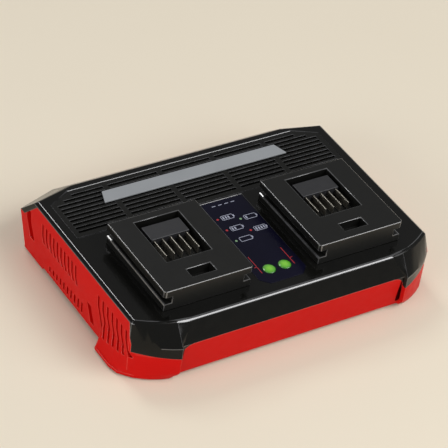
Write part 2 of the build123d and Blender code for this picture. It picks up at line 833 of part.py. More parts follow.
def fan_frame_and_rotor():
    """Square fan behind the left vents: it turns about X."""
    x0, x1, zc = fan_limits()
    half = fan_size / 2
    bore_radius = half - fan_rim
    frame = block(x0, x1, fan_y - half, fan_y + half, zc - half, zc + half)
    bore = Pos((x0 + x1) / 2, fan_y, zc) * Rot(0, 90, 0) * Cylinder(bore_radius,
                                                                   fan_thickness + 2)
    frame = frame - bore
    plate_x = x1 - fan_back_plate / 2
    plate = Pos(plate_x, fan_y, zc) * Rot(0, 90, 0) * Cylinder(fan_hub_radius, fan_back_plate)
    frame = frame + plate
    reach = (bore_radius + fan_hub_radius) / 2
    for i in range(4):
        strut = Box(fan_back_plate, 2 * (bore_radius - fan_hub_radius) + 1, fan_strut_width)
        turned = Rot(45 + 90 * i, 0, 0) * Pos(0, reach, 0) * strut
        frame = frame + Pos(plate_x, fan_y, zc) * turned
    frame = frame & block(x0, x1, fan_y - half, fan_y + half, zc - half, zc + half)
    pin_length = fan_thickness - fan_back_plate - fan_pin_short
    pin = Pos(x1 - fan_back_plate - pin_length / 2, fan_y, zc) * Rot(0, 90, 0) * Cylinder(
        fan_pin_radius, pin_length)
    frame = frame + pin
    mount = half - fan_mount_inset
    for dy, dz in ((1, 1), (1, -1), (-1, 1), (-1, -1)):
        hole = Pos((x0 + x1) / 2, fan_y + dy * mount, zc + dz * mount)
        frame = frame - hole * Rot(0, 90, 0) * Cylinder(fan_mount_hole_radius, fan_thickness + 2)
    hub_x1 = x1 - fan_back_plate - fan_hub_gap
    hub_x0 = hub_x1 - fan_hub_length
    hub_mid = (hub_x0 + hub_x1) / 2
    centre = Pos(hub_mid, fan_y, zc)
    rotor = centre * Rot(0, 90, 0) * Cylinder(fan_hub_radius, fan_hub_length)
    tip = bore_radius - fan_tip_gap
    span = tip - fan_hub_radius + 1.0
    chord = (fan_hub_length - fan_blade_setback) / cos(radians(fan_blade_angle))
    for i in range(fan_blade_count):
        vane = Rot(0, 0, fan_blade_angle) * Box(chord, fan_blade_thickness, span)
        place = Rot(360 / fan_blade_count * i, 0, 0) * Pos(0, 0, tip - span / 2)
        rotor = rotor + centre * place * vane
    limit = centre * Rot(0, 90, 0) * Cylinder(tip, fan_hub_length)
    rotor = rotor & limit
    rotor = rotor - centre * Rot(0, 90, 0) * Cylinder(fan_pin_radius + fan_pin_gap,
                                                      fan_hub_length + 2)
    return frame, rotor, (hub_mid, fan_y, zc)


# ---------------------------------------------------------------- trim, label, lights, feet

def trim_strip():
    """Bright strip across the bars of the louvre."""
    ends = [(trim_half_width, trim_front), (trim_half_width - trim_depth / 3,
                                            trim_front + trim_depth)]
    return prism(mirrored(ends), deck_height, deck_height + trim_thickness)


def console_label():
    """Dark label plate with two round windows, in its recess."""
    z0 = deck_height - label_recess
    plate = prism(label_outline(0), z0, z0 + label_thickness)
    for x, y in status_places().values():
        plate = plate - rod(x, y, z0 - 1, z0 + 2, status_radius + fit_gap)
    return plate


def status_lens(x, y):
    """Clear green lens: a low dome, a stem through the deck and a shoulder below it."""
    stem_bottom = deck_underside
    lens = rod(x, y, stem_bottom, deck_height + status_proud / 2, status_radius)
    dome_radius = (status_radius ** 2 + (status_proud / 2) ** 2) / status_proud
    dome = Pos(x, y, deck_height + status_proud - dome_radius) * Sphere(dome_radius)
    lens = lens + (dome & rod(x, y, deck_height, deck_height + status_proud, status_radius))
    return lens + rod(x, y, stem_bottom - lens_shoulder_height, stem_bottom,
                      status_radius + lens_shoulder)


def status_board():
    """Small circuit board under the lenses."""
    top = deck_underside - lens_shoulder_height - status_led_height - fit_gap
    board = block(-status_board_half_width, status_board_half_width,
                  status_y - status_board_half_depth, status_y + status_board_half_depth,
                  top - board_thickness, top)
    for side in sides.values():
        board = board - rod(side * status_peg_x, status_y, 0, through,
                            status_peg_radius + fit_gap)
    return board


def status_pegs():
    """Pegs under the deck that carry the small board."""
    top = deck_underside - lens_shoulder_height - status_led_height - fit_gap
    pegs = []
    for side in sides.values():
        x = side * status_peg_x
        pegs.append(rod(x, status_y, top, deck_underside + wall / 2, 2 * status_peg_radius))
        pegs.append(rod(x, status_y, top - board_thickness - 1, deck_underside + wall / 2,
                        status_peg_radius))
    return pegs


def status_led(x, y):
    """Round light-emitting diode on the small board."""
    top = deck_underside - lens_shoulder_height - fit_gap
    return rod(x, y, top - status_led_height, top, status_led_radius)


def rubber_foot(x, y):
    """Round rubber pad in its recess."""
    pad = rod(x, y, 0, corner_foot_clearance + rubber_foot_recess, rubber_foot_radius)
    return chamfer(pad.edges().group_by(Axis.Z)[0], rubber_foot_edge)


def cable_gland():
    """Bush in the rear wall for the mains cable: flange outside, sleeve inside."""
    seat = gland_seat()
    sleeve = inlet_rod(seat + gland_flange - gland_length, seat + gland_flange, gland_radius)
    flange = inlet_rod(seat, seat + gland_flange, gland_flange_radius)
    return sleeve + flange - inlet_rod(0, rear_depth + 1, gland_bore_radius)


# ---------------------------------------------------------------- fasteners

def screw(x, y, z0, length, radius, head_radius, head_height):
    """Pan-head screw driven upwards, with a cross recess."""
    body = rod(x, y, z0, z0 + head_height, head_radius)
    body += rod(x, y, z0 + head_height, z0 + length, radius)
    arm = head_radius * 1.1
    slot = head_radius * 0.3
    for dx, dy in ((arm, slot), (slot, arm)):
        body -= block(x - dx / 2, x + dx / 2, y - dy / 2, y + dy / 2, z0,
                      z0 + min(screw_recess_depth, head_height / 2))
    return body


def group(shapes):
    """Separate equal solids in one node."""
    return Compound(children=list(shapes))


def housing_screws():
    """Six screws from below, through the housing posts into the top shell."""
    return group(screw(x, y, floor_underside, screw_length, screw_thread_radius - screw_thread_gap,
                       screw_head_radius, screw_head_height) for x, y in screw_posts())


def dock_screws():
    """Four screws in each dock, from inside the deck: a washer head holds the dock down."""
    places = [place for x in dock_centres.values() for place in dock_screw_places(x)]
    z0 = deck_height - dock_spigot_drop - board_screw_head_height
    return group(screw(x, y, z0, dock_screw_length, dock_screw_radius - screw_thread_gap,
                       board_screw_head_radius, board_screw_head_height) for x, y in places)


def board_screws():
    """Four screws that hold the board on its standoffs, heads up."""
    shapes = []
    for x, y in standoff_places():
        head = rod(x, y, board_top, board_top + board_screw_head_height,
                   board_screw_head_radius)
        shank = rod(x, y, board_top - board_screw_length + board_screw_head_height, board_top,
                    board_screw_radius - screw_thread_gap)
        shapes.append(head + shank)
    return group(shapes)


# ---------------------------------------------------------------- circuit board and parts on it

def main_board():
    """Circuit board with its screw holes and the blade tail slots left solid."""
    board = block(-board_half_width, board_half_width, board_front, board_rear,
                  board_height, board_top)
    for x, y in standoff_places():
        board = board - rod(x, y, 0, through, board_screw_radius + fit_gap)
    return board


def on_board(x, y, width, depth, height, lift=0.0):
    """Block that stands on the board."""
    z0 = board_top + lift
    return block(x - width / 2, x + width / 2, y - depth / 2, y + depth / 2, z0, z0 + height)


def can_capacitor(x, y, radius, height):
    """Electrolytic capacitor: a can with a rolled groove near its foot."""
    z0 = board_top
    can = rod(x, y, z0, z0 + height, radius)
    groove_height = 0.06 * height
    outer = rod(x, y, z0 + 2 * groove_height, z0 + 3 * groove_height, radius + 1)
    inner = rod(x, y, z0, z0 + height, radius - 0.08 * radius)
    can = can - (outer - inner)
    vent = 0.04 * height
    for dx, dy in ((radius, vent), (vent, radius)):
        can = can - block(x - dx / 2, x + dx / 2, y - dy / 2, y + dy / 2,
                          z0 + height - vent, z0 + height + 1)
    return can


def ring_choke(x, y, outer, inner, height):
    """Ring-core choke that lies on the board."""
    return rod(x, y, board_top, board_top + height, outer) - rod(
        x, y, 0, through, inner)


def transformer_core(x, y):
    """Ferrite core: a closed frame about the coil, in the XZ plane."""
    frame = on_board(x, y, core_width, core_depth, core_height, coil_lift)
    half_window = (core_width / 2 - core_limb) / 2
    for side in sides.values():
        wx = x + side * (core_limb / 2 + half_window)
        frame = frame - block(wx - half_window, wx + half_window, y - core_depth, y + core_depth,
                              board_top + coil_lift + core_limb / 2,
                              board_top + coil_lift + core_height - core_limb / 2)
    return frame


def transformer_coil(x, y):
    """Coil former with its winding, round the middle limb of the core."""
    half_window = (core_width / 2 - core_limb) / 2
    reach = core_limb / 2 + 2 * half_window - fit_gap
    z0 = board_top + coil_lift + core_limb / 2 + fit_gap
    z1 = board_top + coil_lift + core_height - core_limb / 2 - fit_gap
    coil = block(x - reach, x + reach, y - coil_depth / 2, y + coil_depth / 2, z0, z1)
    limb = block(x - core_limb / 2 - fit_gap, x + core_limb / 2 + fit_gap,
                 y - core_depth / 2 - fit_gap, y + core_depth / 2 + fit_gap, 0, through)
    foot = on_board(x, y, 2 * reach, coil_depth, z0 - board_top)
    saddle = block(x - core_width, x + core_width, y - core_depth / 2 - fit_gap,
                   y + core_depth / 2 + fit_gap, board_top + coil_lift - fit_gap, z0)
    return (coil - limb) + (foot - saddle - limb)


def heatsink(x, y):
    """Extruded aluminium sink: a back plate with fins to one side."""
    sink = on_board(x, y, sink_plate, sink_length, sink_height)
    count = int(sink_length // sink_fin_pitch)
    side = 1 if x > 0 else -1
    for i in range(count):
        fy = y - sink_length / 2 + sink_fin_thickness / 2 + i * sink_fin_pitch
        fx = x + side * (sink_plate + sink_fin_reach) / 2
        sink = sink + on_board(fx, fy, sink_fin_reach, sink_fin_thickness, sink_height)
    return sink


def power_device(x, y):
    """Power transistor or rectifier: body and tab flat on a heatsink, legs in the board."""
    side = -1 if x > 0 else 1
    face = x + side * sink_plate / 2
    body_x = face + side * device_body_thickness / 2
    body = on_board(body_x, y, device_body_thickness, device_width, device_width, device_lift)
    tab = on_board(face + side * device_tab / 2, y, device_tab, device_width,
                   device_width * 0.65, device_lift + device_width)
    for i in (-1, 0, 1):
        body = body + on_board(body_x, y + i * device_leg_pitch, device_tab / 2, device_tab / 2,
                               device_lift)
    return body + tab


# ---------------------------------------------------------------- build

envelope = body_envelope()
cavity = body_cavity()
zone = housing_zone()

housing_shape = lower_housing(envelope, cavity, zone)
shell_shape = top_shell(envelope, cavity, zone)
print("housing solids", len(housing_shape.solids()), "shell solids", len(shell_shape.solids()))
save("lower_housing", housing_shape)
save("top_shell", shell_shape)
save("rear_louvre", rear_louvre())
save("trim_strip", trim_strip())
save("console_label", console_label())
save("status_board", status_board())
for name, (lens_x, lens_y) in status_places().items():
    save(f"status_lens_{name}", status_lens(lens_x, lens_y))
    save(f"status_led_{name}", status_led(lens_x, lens_y))
for name, centre_x in dock_centres.items():
    save(f"dock_{name}", dock(centre_x))
    save(f"contact_carrier_{name}", contact_carrier(centre_x))
    save(f"contact_blades_{name}", group(blade(bx, centre_x) for bx in blade_places(centre_x)))
for i, (foot_x, foot_y) in enumerate(rubber_foot_places(), start=1):
    save(f"rubber_foot_{i}", rubber_foot(foot_x, foot_y))
save("cable_gland", cable_gland())
save("housing_screws", housing_screws())
save("dock_screws", dock_screws())
save("board_screws", board_screws())
frame_shape, rotor_shape, rotor_centre = fan_frame_and_rotor()
save("fan_frame", frame_shape)
save("fan_rotor", rotor_shape)
print("fan axis through", rotor_centre)

save("main_board", main_board())
for name, side in sides.items():
    tx, ty = side * transformer_x, transformer_y
    save(f"transformer_core_{name}", transformer_core(tx, ty))
    save(f"transformer_coil_{name}", transformer_coil(tx, ty))
for i, cx in enumerate(bulk_capacitor_x, start=1):
    save(f"bulk_capacitor_{i}", can_capacitor(cx, bulk_capacitor_y, bulk_capacitor_radius,
                                              bulk_capacitor_height))
for i, (cx, cy) in enumerate(output_capacitor_places, start=1):
    save(f"output_capacitor_{i}", can_capacitor(cx, cy, output_capacitor_radius,
                                                output_capacitor_height))
save("mains_choke", ring_choke(*mains_choke_place, mains_choke_radius, mains_choke_bore,
                               mains_choke_height))
for i, (cx, cy) in enumerate(output_choke_places, start=1):
    save(f"output_choke_{i}", ring_choke(cx, cy, output_choke_radius, output_choke_bore,
                                         output_choke_height))
save("mains_terminal", on_board(*mains_terminal_place, *mains_terminal_size))
save("mains_fuse", on_board(*mains_fuse_place, *mains_fuse_size))
save("filter_capacitor", on_board(*filter_capacitor_place, *filter_capacitor_size))
bridge_x = bridge_end_inset - board_half_width
save("bridge_rectifier", on_board(bridge_x, bridge_y, *bridge_size))
save("control_chip", on_board(*control_chip_place, *control_chip_size))
for i in range(relay_count):
    relay_x = board_half_width - relay_end_inset - (relay_count - 1 - i) * relay_pitch
    save(f"output_relay_{i + 1}", on_board(relay_x, relay_y, *relay_size))
for name, side in (("primary", -1), ("output", 1)):
    sx = side * sink_x
    save(f"{name}_heatsink", heatsink(sx, sink_y))
    save(f"{name}_power_devices",
         group(power_device(sx, sink_y + k * device_spacing / 2) for k in (-1, 1)))
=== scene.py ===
# %% [markdown]
# # A twin-bay battery charger, dressed for the camera
#
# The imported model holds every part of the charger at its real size. Here each part gets the surface
# that the real one has, and the parts that a modeller keeps plain get their detail: rounded mould
# edges, printed marks, windings, pins and markings of wear. Lengths are written in millimetres and
# turned to metres where they are used.

import json
import random
from math import atan2, cos, pi, radians, sin

import bmesh
import bpy
from mathutils import Matrix, Vector


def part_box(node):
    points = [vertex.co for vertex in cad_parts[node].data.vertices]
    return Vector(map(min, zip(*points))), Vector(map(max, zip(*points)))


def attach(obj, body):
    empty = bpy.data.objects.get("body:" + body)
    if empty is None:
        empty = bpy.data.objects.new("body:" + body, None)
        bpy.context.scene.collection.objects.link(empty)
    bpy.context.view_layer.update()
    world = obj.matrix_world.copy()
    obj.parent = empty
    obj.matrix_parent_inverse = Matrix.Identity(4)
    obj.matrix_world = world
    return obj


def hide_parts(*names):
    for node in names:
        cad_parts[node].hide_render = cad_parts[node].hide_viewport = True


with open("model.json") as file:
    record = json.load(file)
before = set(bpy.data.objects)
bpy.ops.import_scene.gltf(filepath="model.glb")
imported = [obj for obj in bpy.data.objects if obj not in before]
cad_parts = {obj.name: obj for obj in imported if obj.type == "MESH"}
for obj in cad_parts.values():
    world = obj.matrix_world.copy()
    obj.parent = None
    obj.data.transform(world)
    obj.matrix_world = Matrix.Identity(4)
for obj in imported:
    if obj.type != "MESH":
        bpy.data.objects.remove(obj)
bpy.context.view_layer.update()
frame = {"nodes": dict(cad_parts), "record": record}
mm = 0.001
bodies = frame["record"]["behaviour"]["bodies"]
body_of = {node: body for body, nodes in bodies.items() for node in nodes}
slot_of = {part["node"]: part["material_slot"] for part in frame["record"]["subparts"]}

# %% [markdown]
# ## Colours and nodes
#
# Paint and plastic colours are written the way a designer writes them, as sRGB hex values. Blender
# works in linear light, so one function turns them. Another adds a shader node with its settings and
# its inputs, which are either values or the outputs of other nodes. Every material starts from the
# same three nodes: a surface, an output, and the place on the object in metres.

# %% Colour and node helpers


def linear(code):
    """Linear RGBA of an sRGB hex colour."""
    parts = [int(code[i:i + 2], 16) / 255 for i in (0, 2, 4)]
    return (*[p / 12.92 if p <= 0.04045 else ((p + 0.055) / 1.055) ** 2.4 for p in parts], 1.0)


def fill(tree, node, inputs):
    """Gives a node its inputs, by socket name or number: plain values or the outputs of other nodes."""
    for name, value in dict(inputs).items():
        if isinstance(value, bpy.types.NodeSocket):
            tree.links.new(value, node.inputs[name])
        else:
            node.inputs[name].default_value = value
    return node


def add(tree, kind, inputs=(), **settings):
    """One new shader node with its settings and inputs."""
    node = tree.nodes.new("ShaderNode" + kind)
    for name, value in settings.items():
        setattr(node, name, value)
    return fill(tree, node, inputs)


def blank_material(name):
    """A new material, its tree, its Principled surface and the place on the object."""
    material = bpy.data.materials.new(name)
    material.use_nodes = True
    tree = material.node_tree
    tree.nodes.clear()
    shader = add(tree, "BsdfPrincipled")
    add(tree, "OutputMaterial", {"Surface": shader.outputs[0]})
    return material, tree, shader, add(tree, "TexCoord").outputs["Object"]


print("a black of 0B0B0A is", [round(c, 4) for c in linear("0B0B0A")])

# %% [markdown]
# ## Surfaces with grain, gloss and rubbed edges
#
# Nearly every part of the charger is moulded, drawn, rolled or cast, and such a surface shows the same
# four things: a colour that is never quite even, the grain that the mould or the rolls left, a gloss
# that changes where it has been handled, and edges that are rubbed to another shade. One function
# builds them all. The grain is a fine noise in real millimetres that drives a bump, and it can be
# stretched along one direction, as on rolled metal. The rubbed edges follow an attribute that the
# bevels leave on the mesh, broken up by noise. Hands and packs also polish the edges of the smooth
# plastics, so there the same attribute turns on a clear coat, which draws a thin bright line.

# %% One surface for moulded and metal parts
handling = 6.0             # size of the marks that handling leaves, in millimetres
polish_roughness = 0.08
plain_ior, polish_lift = 1.5, 0.5    # the coat's IOR without polish, and what full polish adds


def surface(name, colour, second, worn, rough, spread, grain, depth, wear=0.6, cloud=35.0,
            stretch=(1.0, 1.0, 1.0), metallic=0.0, level=0.5, coat=0.0, polish=0.0):
    """A worked surface. Grain, its depth and the colour clouds are in millimetres."""
    material, tree, shader, place = blank_material(name)
    clouds = add(tree, "TexNoise", {"Vector": place, "Scale": 1 / (cloud * mm), "Detail": 3.0})
    base = add(tree, "Mix", {"Factor": clouds.outputs["Fac"], "A": linear(colour), "B": linear(second)},
               data_type="RGBA")
    handled = add(tree, "TexNoise", {"Vector": place, "Scale": 1 / (handling * mm), "Detail": 4.0})
    breaks = add(tree, "MapRange", {"Value": handled.outputs["Fac"], "From Min": 0.35, "From Max": 0.65,
                                    "To Min": 0.15, "To Max": wear})
    edge = add(tree, "Attribute", attribute_name="edge")
    rub = add(tree, "Math", {0: edge.outputs["Fac"], 1: breaks.outputs[0]}, operation="MULTIPLY")
    coloured = add(tree, "Mix", {"Factor": rub.outputs[0], "A": base.outputs["Result"],
                                 "B": linear(worn)}, data_type="RGBA")
    gloss = add(tree, "MapRange", {"Value": handled.outputs["Fac"], "From Min": 0.3, "From Max": 0.7,
                                   "To Min": rough - spread, "To Max": rough + spread})
    along = add(tree, "Mapping", {"Vector": place, "Scale": stretch})
    fine = add(tree, "TexNoise", {"Vector": along.outputs[0], "Scale": 1 / (grain * mm), "Detail": 2.0})
    skin = add(tree, "Bump", {"Height": fine.outputs["Fac"], "Distance": depth * mm})
    fill(tree, shader, {"Base Color": coloured.outputs["Result"], "Roughness": gloss.outputs[0],
                        "Normal": skin.outputs["Normal"], "Metallic": metallic,
                        "Specular IOR Level": level, "Coat Weight": coat})
    if polish:
        shine = add(tree, "Math", {0: edge.outputs["Fac"], 1: polish}, operation="MULTIPLY")
        fill(tree, shader, {"Coat Weight": shine.outputs[0], "Coat Roughness": polish_roughness,
                            "Coat IOR": plain_ior + polish_lift * polish})
    return material


print("a full polish has a coat with an IOR of", plain_ior + polish_lift)

# %% The charger's finishes
finishes = {
    # Textured ABS: bright red, satin, with a spark-eroded grain.
    "housing_red": surface("abs_red_textured", "C80F0C", "BE0D0A", "E2463A", 0.42, 0.07, 0.9, 0.014,
                           level=0.08, polish=0.3),
    # Polished ABS: deep black that mirrors softly and shows fine wipe marks.
    "shell_black": surface("abs_black_gloss", "0B0B0A", "10100E", "6A6A6E", 0.18, 0.025, 1.6, 0.002,
                           wear=0.3, level=0.22, polish=1.0),
    # Satin nylon: the rails have to slide, so the docks are a tougher plastic.
    "dock_black": surface("nylon_black_satin", "0F0F0E", "151513", "77777A", 0.38, 0.03, 0.8, 0.008,
                          wear=0.4, level=0.28, polish=1.0),
    "louvre_black": surface("abs_black_bars", "0D0D0C", "12120F", "5A5A5E", 0.27, 0.03, 0.9, 0.004,
                            level=0.25),
    # Glass-filled nylon is dull, a little grey, with fibres near the surface.
    "carrier_plastic": surface("nylon_glass_filled", "1C1C1E", "232326", "4C4C50", 0.5, 0.08, 0.5, 0.02,
                               stretch=(1.0, 3.0, 1.0)),
    "foot_rubber": surface("natural_rubber_black", "141414", "1B1B1B", "2E2E2E", 0.75, 0.1, 0.7, 0.03,
                           level=0.25),
    "gland_rubber": surface("soft_pvc_black", "161617", "1D1D1F", "333335", 0.6, 0.1, 0.6, 0.02,
                            level=0.3),
    "terminal_plastic": surface("polyamide_green", "2E6B41", "2A613B", "5E9A70", 0.42, 0.06, 0.7, 0.012),
    "relay_plastic": surface("polyester_blue", "1D3F86", "1A3878", "5C7ABC", 0.3, 0.06, 0.9, 0.006),
    "film_capacitor": surface("epoxy_box_yellow", "C9A02C", "BE9527", "E6CD7C", 0.35, 0.06, 0.8, 0.008),
    "device_epoxy": surface("moulding_epoxy_black", "151515", "1B1B1C", "3A3A3C", 0.55, 0.08, 0.5, 0.02),
    "fan_plastic": surface("polyester_black", "161617", "1C1C1D", "404044", 0.4, 0.07, 0.8, 0.01),
    # Sintered ferrite: grey-black, ground on its faces, chipped pale at its edges.
    "ferrite": surface("sintered_ferrite", "2C2B2C", "353334", "6A6768", 0.6, 0.1, 0.4, 0.03, wear=0.9,
                       cloud=9.0),
    # Coated strip: fine bright paint over plastic, rolled lengthwise.
    "trim_grey": surface("bright_coated_strip", "94979A", "85888B", "B4B6B8", 0.5, 0.05, 1.2, 0.004,
                         stretch=(0.12, 1.0, 1.0), level=0.25),
    # Nickel on a copper alloy: warm pale metal with drawn lines along the blade.
    "contact_metal": surface("nickel_plated_copper", "B3AEA3", "A5A095", "CBC6BA", 0.4, 0.06, 0.35,
                             0.003, stretch=(1.0, 0.1, 1.0), metallic=1.0, cloud=8.0),
    # Zinc plate: bluish grey, slightly blotched, duller than nickel.
    "screw_steel": surface("zinc_plated_steel", "8F949B", "7D8188", "B9BDC4", 0.34, 0.1, 0.5, 0.008,
                           metallic=1.0, cloud=3.0),
    # Extruded aluminium: die lines run along the extrusion, which stands upright here.
    "heatsink_aluminium": surface("extruded_aluminium", "B4B6B8", "A2A5A8", "D8DADC", 0.36, 0.08, 0.4,
                                  0.01, stretch=(1.0, 1.0, 0.05), metallic=1.0, cloud=12.0),
    "capacitor_can": surface("drawn_aluminium", "C2C4C6", "B0B3B6", "DDDEE0", 0.3, 0.06, 0.5, 0.004,
                             metallic=1.0, cloud=6.0),
    # Shrunk vinyl sleeve: dark blue, smooth and fairly glossy, with a pale printed stripe.
    "capacitor_sleeve": surface("pvc_sleeve_navy", "16223A", "1B2842", "3C4A66", 0.28, 0.06, 0.9, 0.006),
    "sleeve_stripe": surface("pvc_sleeve_stripe", "B7BCC4", "A9AEB7", "D0D4DA", 0.3, 0.06, 0.9, 0.006),
    "coil_tape": surface("polyester_tape_yellow", "D0A53A", "C2962F", "E3C674", 0.3, 0.07, 0.9, 0.02,
                         stretch=(0.2, 0.2, 1.0), cloud=6.0),
    # Enamelled copper: the varnish gives a clear glossy coat over orange-brown metal.
    "copper_winding": surface("enamelled_copper", "A2521F", "8C4216", "C77B43", 0.3, 0.08, 0.3, 0.004,
                              metallic=0.8, cloud=4.0, coat=0.6),
    # Iron powder pressed to a ring and painted: dull yellow, chipped to grey at its edges.
    "choke_core": surface("painted_iron_powder", "C7B53A", "B8A632", "8C8778", 0.5, 0.08, 0.4, 0.03,
                          cloud=5.0),
    "bobbin": surface("phenolic_black", "1A1715", "211D1A", "403A36", 0.45, 0.07, 0.6, 0.012),
    "connector_white": surface("nylon_natural", "D8D4C6", "CCC8BA", "ECE9DE", 0.5, 0.07, 0.5, 0.01),
    "ribbon_grey": surface("pvc_ribbon_grey", "8C8F92", "828588", "AEB1B4", 0.45, 0.06, 0.9, 0.006),
}
# Extruded vinyl insulation: even, waxy colours.
wire_colours = {"brown": ("5A3320", "50301F", "7C5644"), "blue": ("2450A0", "1F4790", "5C80C0"),
                "red": ("A3201C", "951C19", "C8605C"), "black": ("171718", "1E1E20", "404044")}
for colour, codes in wire_colours.items():
    finishes["wire_" + colour] = surface("pvc_wire_" + colour, *codes, 0.4, 0.06, 0.9, 0.006)
# Screen-printed ink: a thin, slightly uneven film.
ink_colours = {"pale": ("A9ADBE", "9A9EB0", "C6C9D6"), "red": ("B4232A", "A01E25", "CC4A50"),
               "green": ("7FA57C", "74996F", "A9C8A6")}
for colour, codes in ink_colours.items():
    finishes["print_" + colour] = surface("screen_ink_" + colour, *codes, 0.5, 0.06, 0.3, 0.002, cloud=3.0)
print(len(finishes), "worked surfaces")

# %% [markdown]
# ## Studio
#
# A plain pale floor and three lamps. The key is large and soft and stands over the front right corner.
# A small crisp one stands high behind and draws thin lines along the polished edges. A low one on the
# left lifts the end panel. Polished black plastic shows whatever stands in its mirror direction, so no
# lamp stands at the back right: the deck stays dark, while its bevels catch the lamps.

# %% Floor
floor_size = 16.0    # metres


def material_floor():
    """Pale matt studio floor."""
    material, tree, shader, place = blank_material("studio_floor")
    clouds = add(tree, "TexNoise", {"Vector": place, "Scale": 4.0, "Detail": 2.0})
    tone = add(tree, "Mix", {"Factor": clouds.outputs["Fac"], "A": linear("E6DCC9"), "B": linear("E2D7C3")},
               data_type="RGBA")
    fill(tree, shader, {"Base Color": tone.outputs["Result"], "Roughness": 0.7,
                        "Specular IOR Level": 0.2})
    return material


def new_object(bm, name):
    """Puts a bmesh into a new object of the scene."""
    mesh = bpy.data.meshes.new(name)
    bm.to_mesh(mesh)
    bm.free()
    thing = bpy.data.objects.new(name, mesh)
    bpy.context.scene.collection.objects.link(thing)
    return thing


sheet = bmesh.new()
bmesh.ops.create_grid(sheet, x_segments=1, y_segments=1, size=floor_size / 2)
floor = new_object(sheet, "studio_floor")
floor.data.materials.append(material_floor())
print("the floor is", floor_size, "m wide")

# %% Lamps and world
lamp_distance = 1.8    # metres
lamps = {    # direction, size in metres, power in watts
    "key_light": ((0.475, -0.622, 0.722), 1.3, 24.0),
    "rim_light": ((-0.04, 0.62, 0.78), 0.5, 7.0),
    "fill_light": ((-1.0, -0.3, 0.32), 1.2, 15.5),
}
for name, (direction, size, power) in lamps.items():
    lamp = bpy.data.lights.new(name, "AREA")
    lamp.size = size
    lamp.energy = power
    holder = bpy.data.objects.new(name, lamp)
    holder.location = Vector(direction).normalized() * lamp_distance
    holder.rotation_euler = (-holder.location).to_track_quat("-Z", "Y").to_euler()
    bpy.context.scene.collection.objects.link(holder)
world = bpy.data.worlds.new("studio_air")
world.use_nodes = True
air = world.node_tree.nodes["Background"]
fill(world.node_tree, air, {"Color": linear("B4B4B4"), "Strength": 0.66})
bpy.context.scene.world = world
bpy.context.scene.view_settings.view_transform = "Standard"
print(len(lamps), "lamps at", lamp_distance, "m")

# %% [markdown]
# ## Camera
#
# The camera stands at the front left, looks down by about 38 degrees and is tipped a little to one
# side. A long lens keeps the far corner nearly as large as the near one.

# %% Place the camera
camera_place = Vector((-744.1, -966.6, 1005.8)) * mm
camera_heading = radians(37.39)    # from the back, towards the right
camera_drop = radians(38.48)
camera_roll = radians(9.31)
camera_lens = 185.3
look = Vector((sin(camera_heading) * cos(camera_drop), cos(camera_heading) * cos(camera_drop),
               -sin(camera_drop)))
turn = look.to_track_quat("-Z", "Y").to_matrix() @ Matrix.Rotation(camera_roll, 3, "Z")
camera = bpy.data.objects.new("camera", bpy.data.cameras.new("camera"))
camera.data.lens = camera_lens
camera.data.sensor_width = 36.0
camera.data.clip_end = 50.0
camera.location = camera_place
camera.rotation_euler = turn.to_euler()
bpy.context.scene.collection.objects.link(camera)
bpy.context.scene.camera = camera
print("camera looks along", [round(v, 3) for v in look])

# %% [markdown]
# ## From hard CAD edges to moulded ones
#
# No moulded edge is sharp. A Bevel modifier could round them all, but here the new faces also have to
# carry the attribute that the plastics read as wear and polish, so an operator makes the bevels. Each
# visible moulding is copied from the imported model, its loose triangles are merged into whole faces, and
# its outer edges get a narrow bevel. The long edges that frame the deck and the tops of the docks'
# plinths are rounder, so they are bevelled first and wider.

# %% Finished pieces and merged copies
weld = 0.004 * mm


def keep(bm, name, *nodes, finish=None, slot=None, smooth=35.0):
    """Makes a bmesh a finished piece. One that stands for a CAD node takes that node's body and slot.
    Its finish is named as its slot is, unless another name is given."""
    body = body_of[nodes[0]] if nodes else "charger"
    slot = slot or slot_of[nodes[0]]
    piece = new_object(bm, name)
    piece.data.materials.append(finishes[finish or slot])
    for face in piece.data.polygons:
        face.use_smooth = True
    piece.data.set_sharp_from_angle(angle=radians(smooth))
    piece.modifiers.new("even_shading", "WEIGHTED_NORMAL").keep_sharp = True
    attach(piece, body)
    if nodes:
        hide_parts(*nodes)
    return piece


def merged_copy(node):
    """A CAD node's mesh with its loose triangles merged into whole flat faces."""
    bm = bmesh.new()
    bm.from_mesh(frame["nodes"][node].data)
    bmesh.ops.remove_doubles(bm, verts=bm.verts, dist=weld)
    bmesh.ops.dissolve_limit(bm, angle_limit=radians(0.5), verts=bm.verts, edges=bm.edges)
    return bm


print("corners within", round(weld / mm, 3), "mm become one")

# %% Softened edges
sharp_turn = 28    # degrees
deck_edge_height, long_edge = 36.0, 9.0    # edges of the deck: above this height and longer than this
end_panel_x, corner_y = 100.0, -62.0       # the thin lip over the end panels keeps a narrow edge
plinth_top, height_slack = 49.6, 0.1


def soften(bm, width, chosen=lambda edge: True):
    """Bevels the chosen sharp outer edges and marks the new faces. Bevels aren't bevelled again."""
    worn = bm.faces.layers.float.get("edge") or bm.faces.layers.float.new("edge")
    edges = [e for e in bm.edges if e.is_manifold and e.is_convex
             and e.calc_face_angle() > radians(sharp_turn)
             and not any(face[worn] for face in e.link_faces) and chosen(e)]
    made = bmesh.ops.bevel(bm, geom=edges, offset=width * mm, offset_type="OFFSET", segments=2,
                           profile=0.5, affect="EDGES", clamp_overlap=False, material=-1)
    for face in made["faces"]:
        face[worn] = 1.0
    return len(edges)


def shoulder(edge):
    """True for the long edges that frame the deck, which the mould rounds more than the rest."""
    start, end = (vert.co / mm for vert in edge.verts)
    middle = (start + end) / 2
    on_lip = abs(middle.x) > end_panel_x and middle.y > corner_y
    return min(start.z, end.z) > deck_edge_height and (start - end).length > long_edge and not on_lip


def plinth_edge(edge):
    """True for the edges round the top of a dock's plinth, where a pack first touches it."""
    start, end = (vert.co / mm for vert in edge.verts)
    level = max(abs(start.z - plinth_top), abs(end.z - plinth_top)) < height_slack
    return level and (start - end).length > long_edge


